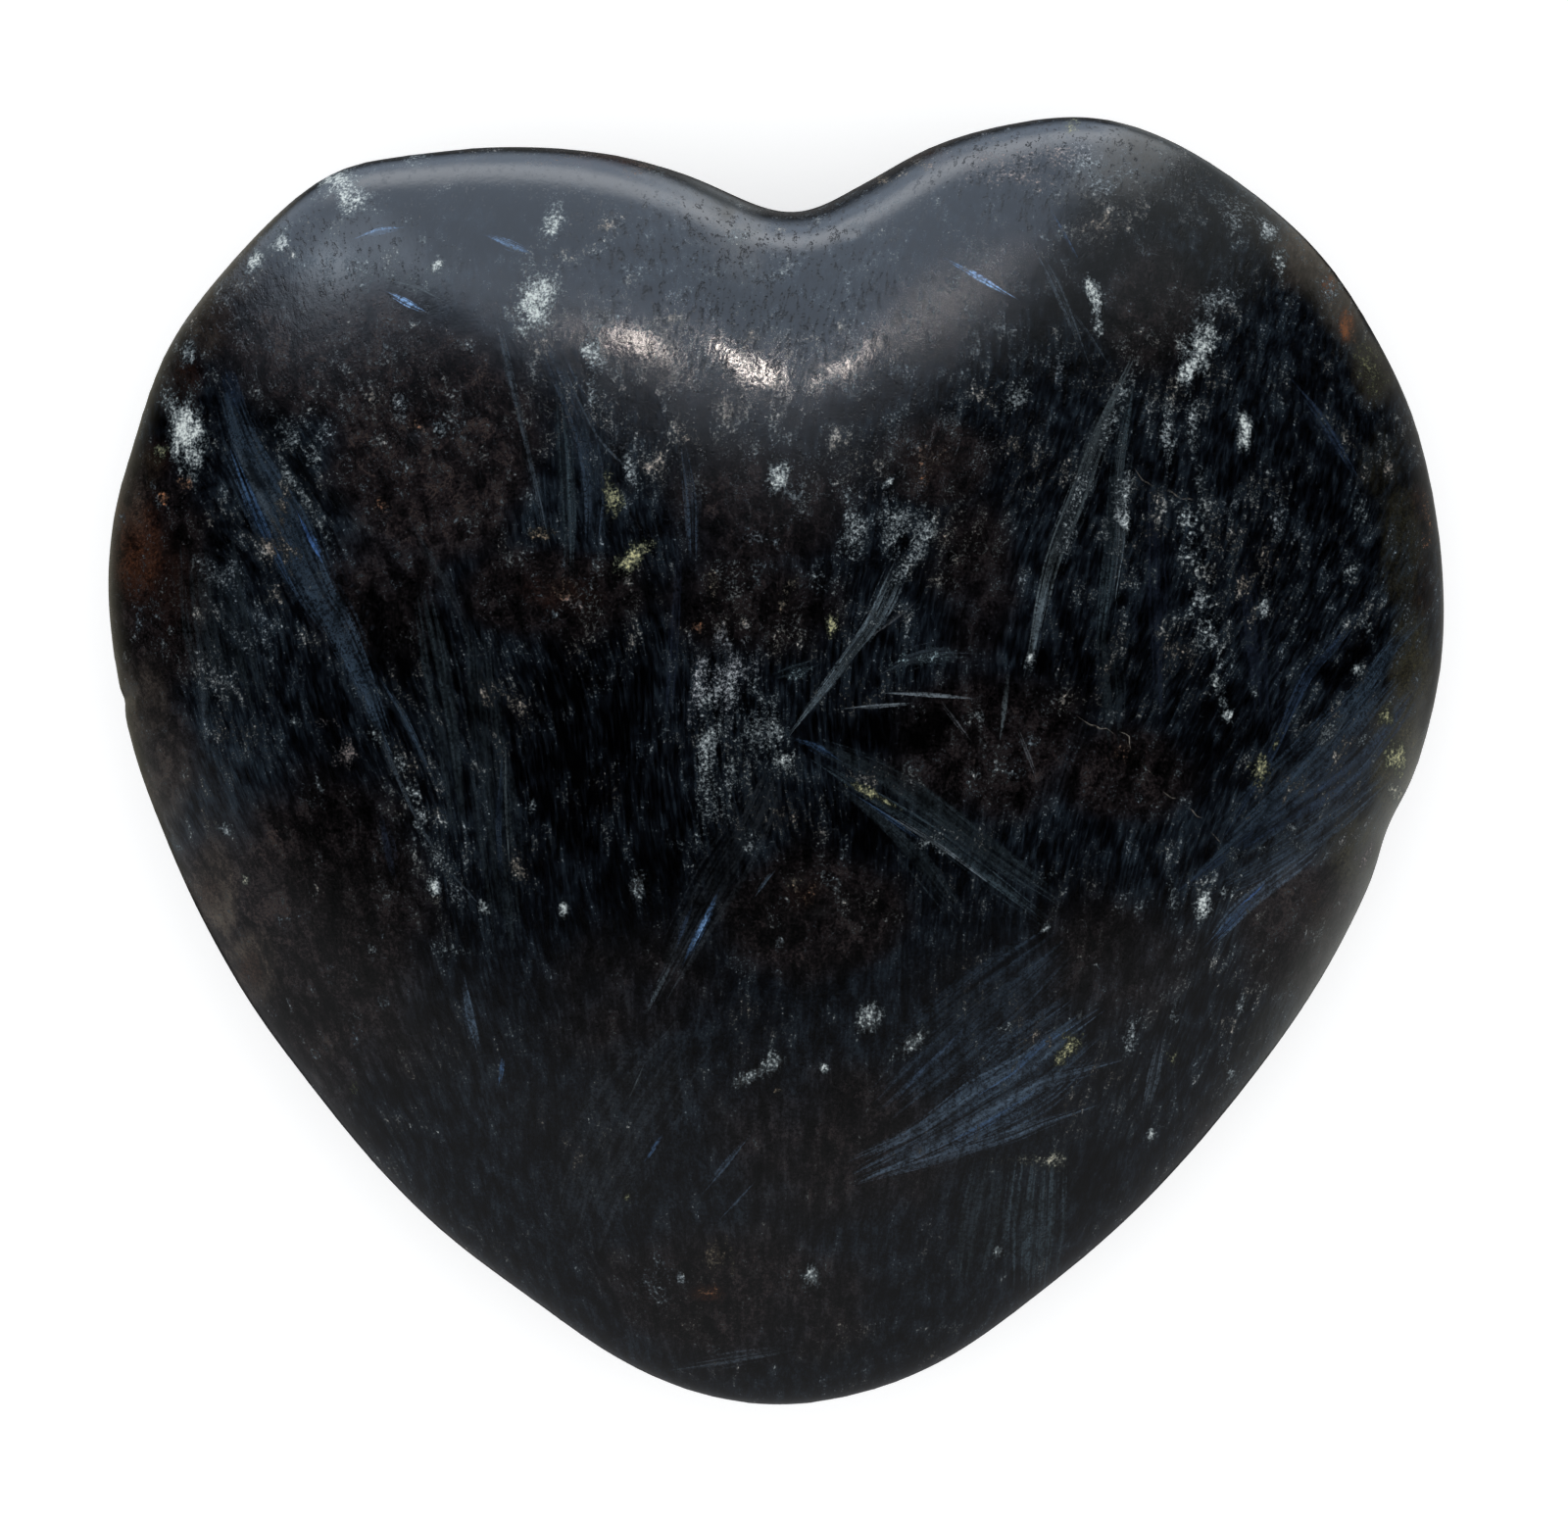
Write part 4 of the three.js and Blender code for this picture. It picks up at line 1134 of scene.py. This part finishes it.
# Pale crumbly patches raise the crumbs towards white and give them their hue. Clumps and fibres fray
# their outline.
fray = addNode(tree, "Math", {0: hair, 1: 0.5, 2: clump}, **multiplyAdd)
outward = addNode(tree, "Math", {0: fray, 1: finish["patchFray"], 2: -0.03}, **multiplyAdd)
gain = 0.0
hue = linear("#ffffff")
for layer in range(painting["patchLayers"]):
    place = addNode(tree, "Attribute", out="Vector", attribute_name=f"patchPlace{layer}")
    tint = addNode(tree, "Attribute", out=None, attribute_name=f"patchTint{layer}")
    away = addNode(tree, "VectorMath", {0: place}, out="Value", operation="LENGTH")
    within = addNode(tree, "Math", {0: outward, 1: away}, operation="SUBTRACT", use_clamp=True)
    rise = addNode(tree, "Math", {0: within, 1: tint.outputs["Alpha"]}, **multiply)
    share = addNode(tree, "MapRange", {"Value": rise, "From Min": 0.0, "From Max": 0.05})
    hue = addNode(tree, "Mix", {0: share, 6: hue, 7: tint.outputs["Color"]}, **colourMix)
    gain = addNode(tree, "Math", {0: gain, 1: rise}, **larger)

# A faint veil of powder lies between the crumbs of a patch
veilSquare = addNode(tree, "Math", {0: gain, 1: gain}, **multiply)
veilScale = addNode(tree, "Math", {0: veilSquare, 1: 2.6, 2: 0.012}, **multiplyAdd)
veilTint = addNode(tree, "VectorMath", {0: hue, "Scale": veilScale}, operation="SCALE")
veilSum = addNode(tree, "Math", {0: gain, 1: 1.5, 2: crumb}, **multiplyAdd)
veilMask = addNode(tree, "MapRange", {"Value": veilSum, "From Min": 0.7, "From Max": 1.05, "To Max": 0.75},
                   **smooth)
powdered = addNode(tree, "Mix", {0: veilMask, 6: body, 7: veilTint}, **colourMix)

# How light each crumb is: most of the skin has none, and a few are pale. In brown ground and in patches
# the crumbs are round, and elsewhere they follow the fibres; in patches the slow clouds count for less.
patched = addNode(tree, "MapRange", {"Value": gain, "From Min": 0.0, "From Max": 0.12})
crumbOnly = addNode(tree, "Math", {0: brownMask, 1: patched}, **larger)
fibrous = addNode(tree, "Math", {0: hair, 1: finish["hairShare"], 2: crumb}, **multiplyAdd)
granular = addNode(tree, "Math", {0: crumb, 1: finish["hairShare"] / 2}, **plus)
crumbSum = addNode(tree, "Mix", {0: crumbOnly, 2: fibrous, 3: granular})
steadied = addNode(tree, "Math", {0: patched, 1: 0.6}, **multiply)
steadyClump = addNode(tree, "Mix", {0: steadied, 2: clump, 3: 0.52})
steadyDrift = addNode(tree, "Mix", {0: steadied, 2: drift, 3: 0.5})
# Where the rock is pitted a few more crumbs turn pale, as painted grain of the sheen
crumbWeights = [
    (steadyClump, 0.9), (steadyDrift, 0.35), (pitted, 0.04), (dust, 0.05), (calm, -0.03), (ink, -0.09),
    (ringMask, 0.13), (brownMask, -0.035), (bladeCover, -0.04), (gain, 1.0),
]
for part, weight in crumbWeights:
    crumbSum = addNode(tree, "Math", {0: part, 1: weight, 2: crumbSum}, **multiplyAdd)
crumbLevel = addNode(tree, "Math", {0: crumbSum, 1: 0.87}, operation="SUBTRACT")
crumbTint = addNode(tree, "ValToRGB", {"Fac": crumbLevel},
                    stops=[(0.5, "#07090b"), (0.58, "#0f1316"), (0.66, "#1f2529"), (0.73, "#3a4145"),
                           (0.8, "#6a7174"), (0.88, "#a2a7a8"), (0.97, "#d8dcda")])
hueDrift = addNode(tree, "ValToRGB", {"Fac": drift},
                   stops=[(0.36, "#e0f0ff"), (0.47, "#f6fcff"), (0.55, "#fff6ee"), (0.66, "#ffe2cc")])
unpatched = addNode(tree, "Math", {0: 1.0, 1: patched}, operation="SUBTRACT")
drifted = addNode(tree, "Mix", {0: unpatched, 6: crumbTint, 7: hueDrift}, blend_type="MULTIPLY",
                  **colourMix)
hued = addNode(tree, "Mix", {0: 1.0, 6: drifted, 7: hue}, blend_type="MULTIPLY", **colourMix)
crumbMask = addNode(tree, "MapRange", {"Value": crumbLevel, "From Min": 0.52, "From Max": 0.66}, **smooth)
colour = addNode(tree, "Mix", {0: crumbMask, 6: powdered, 7: hued}, **colourMix)

# Polish: clear on the black ground and dull on pale crumbs. Where the rock is pitted it is clearer, between
# fine dull veils, so that the sheen breaks up into sparkle.
roughness = addNode(tree, "MapRange", {"Value": crumbLevel, "From Min": 0.58, "From Max": 0.78,
                                       "To Min": finish["roughPolished"], "To Max": finish["roughGrainy"]})
veil = addNode(tree, "MapRange", {"Value": weaveAndClump, "From Min": 1.02, "From Max": 1.25,
                                  "To Max": 0.1}, **smooth)
for part, weight in ((dull, 0.3), (brownMask, 0.06), (pitted, -0.04), (pitted, veil)):
    roughness = addNode(tree, "Math", {0: part, 1: weight, 2: roughness}, **multiplyAdd)

# Relief: fine pits between the fibres, deepest where the rock is pitted, on a faint ripple of grain
hairAndCrumb = addNode(tree, "Math", {0: hair, 1: crumb}, **plus)
fibrousPit = addNode(tree, "Math", {0: hair, 1: 1.4, 2: crumb}, **multiplyAdd)
pitShare = addNode(tree, "Math", {0: pitted, 1: -0.055, 2: fibrousPit}, **multiplyAdd)
pit = addNode(tree, "MapRange", {"Value": pitShare, "From Min": 1.0, "From Max": 0.86}, **smooth)
pitDeep = addNode(tree, "Math", {0: pitted, 1: -3.4, 2: -0.3}, **multiplyAdd)
ripple = addNode(tree, "Math", {0: pitted, 1: -0.05, 2: 0.25}, **multiplyAdd)
rippled = addNode(tree, "Math", {0: hairAndCrumb, 1: ripple}, **multiply)
dent = addNode(tree, "Math", {0: pitted, 1: 0.3, 2: 1.2}, **multiplyAdd)
dented = addNode(tree, "Math", {0: clump, 1: dent, 2: rippled}, **multiplyAdd)
height = addNode(tree, "Math", {0: pit, 1: pitDeep, 2: dented}, **multiplyAdd)
bump = addNode(tree, "Bump", {"Strength": 1.0, "Distance": finish["relief"], "Height": height})
surface = addNode(tree, "BsdfPrincipled", {"Base Color": colour, "Roughness": roughness,
                                           "IOR": finish["ior"], "Normal": bump})
addNode(tree, "OutputMaterial", {"Surface": surface}, out=None)
stone.data.materials.clear()
stone.data.materials.append(rock)
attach(stone, "root")
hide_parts("heart")
print("stone finished")


# The floor: plain matt white paper, clear from underneath so that the back of the stone can be seen. It
# glows a little so that it comes out white, and the polish does not reflect it.
backdrop = {
    "size": 6,               # m
    "colour": "#f6f6f5",
    "glow": 0.4,
}
bpy.ops.object.select_all(action="DESELECT")
bpy.ops.mesh.primitive_plane_add(size=backdrop["size"], location=(0, 0, 0))
floor = bpy.context.active_object
floor.name = "floor"
floor.visible_glossy = False
paper = bpy.data.materials.new("mattWhitePaper")
paper.use_nodes = True
tree = paper.node_tree
tree.nodes.clear()
white = addNode(tree, "BsdfDiffuse", {"Color": linear(backdrop["colour"])})
glow = addNode(tree, "Emission", {"Color": linear("#ffffff"), "Strength": backdrop["glow"]})
lit = addNode(tree, "AddShader", {0: white, 1: glow})
clear = addNode(tree, "BsdfTransparent")
under = addNode(tree, "NewGeometry", out="Backfacing")
sided = addNode(tree, "MixShader", {0: under, 1: lit, 2: clear})
addNode(tree, "OutputMaterial", {"Surface": sided}, out=None)
floor.data.materials.append(paper)
floor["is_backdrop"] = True
print("floor laid")


# Light: an even white tent, with soft panels that only show as reflections in the polish. Each panel has
# the way towards it in x and y, the angles from straight up at which it starts, is full, wanes and ends,
# the same four sideways as shares of its distance forward, its colour, and its brightness.
panels = {
    "topWindow": ((0, 1), (36, 53, 116, 142), (-1.16, -1.0, 0.12, 0.4), (0.84, 1.0, 1.24), 1.4),
    "topLeft": ((0, 1), (44, 52, 62, 90), (-0.98, -0.82, -0.5, -0.25), (0.88, 1.0, 1.16), 0.8),
    "topSpot": ((0, 1), (47, 54, 60, 76), (-1.02, -0.94, -0.86, -0.74), (0.9, 1.0, 1.08), 1.8),
    "topCore": ((0, 1), (88, 100, 104, 116), (-0.75, -0.45, 0.1, 0.4), (1.0, 1.0, 1.0), 1.8),
    "topGlow": ((0, 1), (22, 42, 44, 56), (-0.45, -0.15, 0.1, 0.4), (0.92, 1.0, 1.14), 0.6),
    "topBeside": ((0, 1), (58, 74, 116, 136), (0.12, 0.25, 0.45, 0.6), (0.97, 1.0, 1.02), 1.35),
    "topRight": ((0, 1), (28, 44, 146, 165), (0.2, 0.35, 0.7, 1.1), (0.9, 1.0, 1.05), 0.33),
    "topShoulder": ((0, 1), (66, 94, 140, 162), (0.65, 0.95, 1.4, 2.1), (1.05, 1.0, 0.85), 0.42),
    "topRim": ((0, 1), (130, 150, 160, 174), (-2.0, -1.2, 0.6, 1.2), (1.0, 1.0, 1.0), 0.12),
    "bottomHaze": ((0, -1), (18, 46, 150, 172), (-9, -3.6, 3, 9), (0.98, 1.0, 1.04), 0.19),
    "rightRim": ((1, 0), (80, 125, 158, 174), (-0.7, -0.35, 0.4, 0.8), (1.0, 1.0, 0.95), 0.25),
    "rightLow": ((1, 0), (84, 110, 152, 170), (0.15, 0.35, 0.6, 0.9), (0.95, 1.0, 0.92), 0.25),
    "leftRim": ((-1, 0), (95, 135, 156, 174), (-0.5, -0.2, 1.0, 1.4), (1.05, 1.0, 0.8), 0.25),
}
# Two small warm lamps: azimuth from +X, angle from straight up, reach in degrees, brightness
lamps = {
    "lampLeft": (99.4, 44.4, 1.1, 80.0),
    "lampMiddle": (87.2, 46.3, 1.1, 115.0),
}
tent = {
    "lampColour": (1.0, 0.88, 0.8),
    "onMatt": (0.97, 0.98, 1.0, 1.0),      # what lights the matt parts
    "behind": (1.0, 1.0, 1.0, 1.0),        # what the camera sees past the floor
    "leastForward": 0.02,                  # keeps what lies straight up or behind out of the panels' slopes
}

world = bpy.data.worlds.new("lightTent")
bpy.context.scene.world = world
world.use_nodes = True
world.cycles.sampling_method = "NONE"
tree = world.node_tree
tree.nodes.clear()
way = addNode(tree, "TexCoord", out="Generated")
up = addNode(tree, "SeparateXYZ", {0: way}, out="Z")
glossy = (0, 0, 0)
for (east, north), rise, side, colour, power in panels.values():
    forward = addNode(tree, "VectorMath", {0: way, 1: (east, north, 0)}, out="Value",
                      operation="DOT_PRODUCT")
    sideways = addNode(tree, "VectorMath", {0: way, 1: (north, -east, 0)}, out="Value",
                       operation="DOT_PRODUCT")
    angle = addNode(tree, "Math", {0: forward, 1: up}, operation="ARCTAN2")
    ahead = addNode(tree, "Math", {0: forward, 1: tent["leastForward"]}, **larger)
    slope = addNode(tree, "Math", {0: sideways, 1: ahead}, operation="DIVIDE")
    shown = power
    for value, (starts, full, wanes, ends) in ((angle, np.radians(rise)), (slope, side)):
        for low, high in ((starts, full), (ends, wanes)):
            fade = addNode(tree, "MapRange", {"Value": value, "From Min": low, "From Max": high}, **smooth)
            shown = addNode(tree, "Math", {0: shown, 1: fade}, **multiply)
    glow = addNode(tree, "VectorMath", {0: colour, "Scale": shown}, operation="SCALE")
    glossy = addNode(tree, "VectorMath", {0: glossy, 1: glow}, **plus)
for azimuth, fromTop, reach, power in lamps.values():
    a, t, r = np.radians((azimuth, fromTop, reach))
    aim = (math.cos(a) * math.sin(t), math.sin(a) * math.sin(t), math.cos(t))
    near = addNode(tree, "VectorMath", {0: way, 1: aim}, out="Value", operation="DOT_PRODUCT")
    disc = addNode(tree, "MapRange", {"Value": near, "From Min": math.cos(r), "From Max": 1.0,
                                      "To Max": power}, **smooth)
    glow = addNode(tree, "VectorMath", {0: tent["lampColour"], "Scale": disc}, operation="SCALE")
    glossy = addNode(tree, "VectorMath", {0: glossy, 1: glow}, **plus)
path = addNode(tree, "LightPath", out=None)
lit = addNode(tree, "Mix", {0: path.outputs["Is Glossy Ray"], 6: tent["onMatt"], 7: glossy}, **colourMix)
seen = addNode(tree, "Mix", {0: path.outputs["Is Camera Ray"], 6: lit, 7: tent["behind"]}, **colourMix)
background = addNode(tree, "Background", {"Color": seen, "Strength": 1.0})
addNode(tree, "OutputWorld", {"Surface": background}, out=None)
bpy.context.scene.view_settings.view_transform = "Standard"
print("light set")

low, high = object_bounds()
print("size:", [round(float((b - a) * mmPerMetre), 2) for a, b in zip(low, high)])
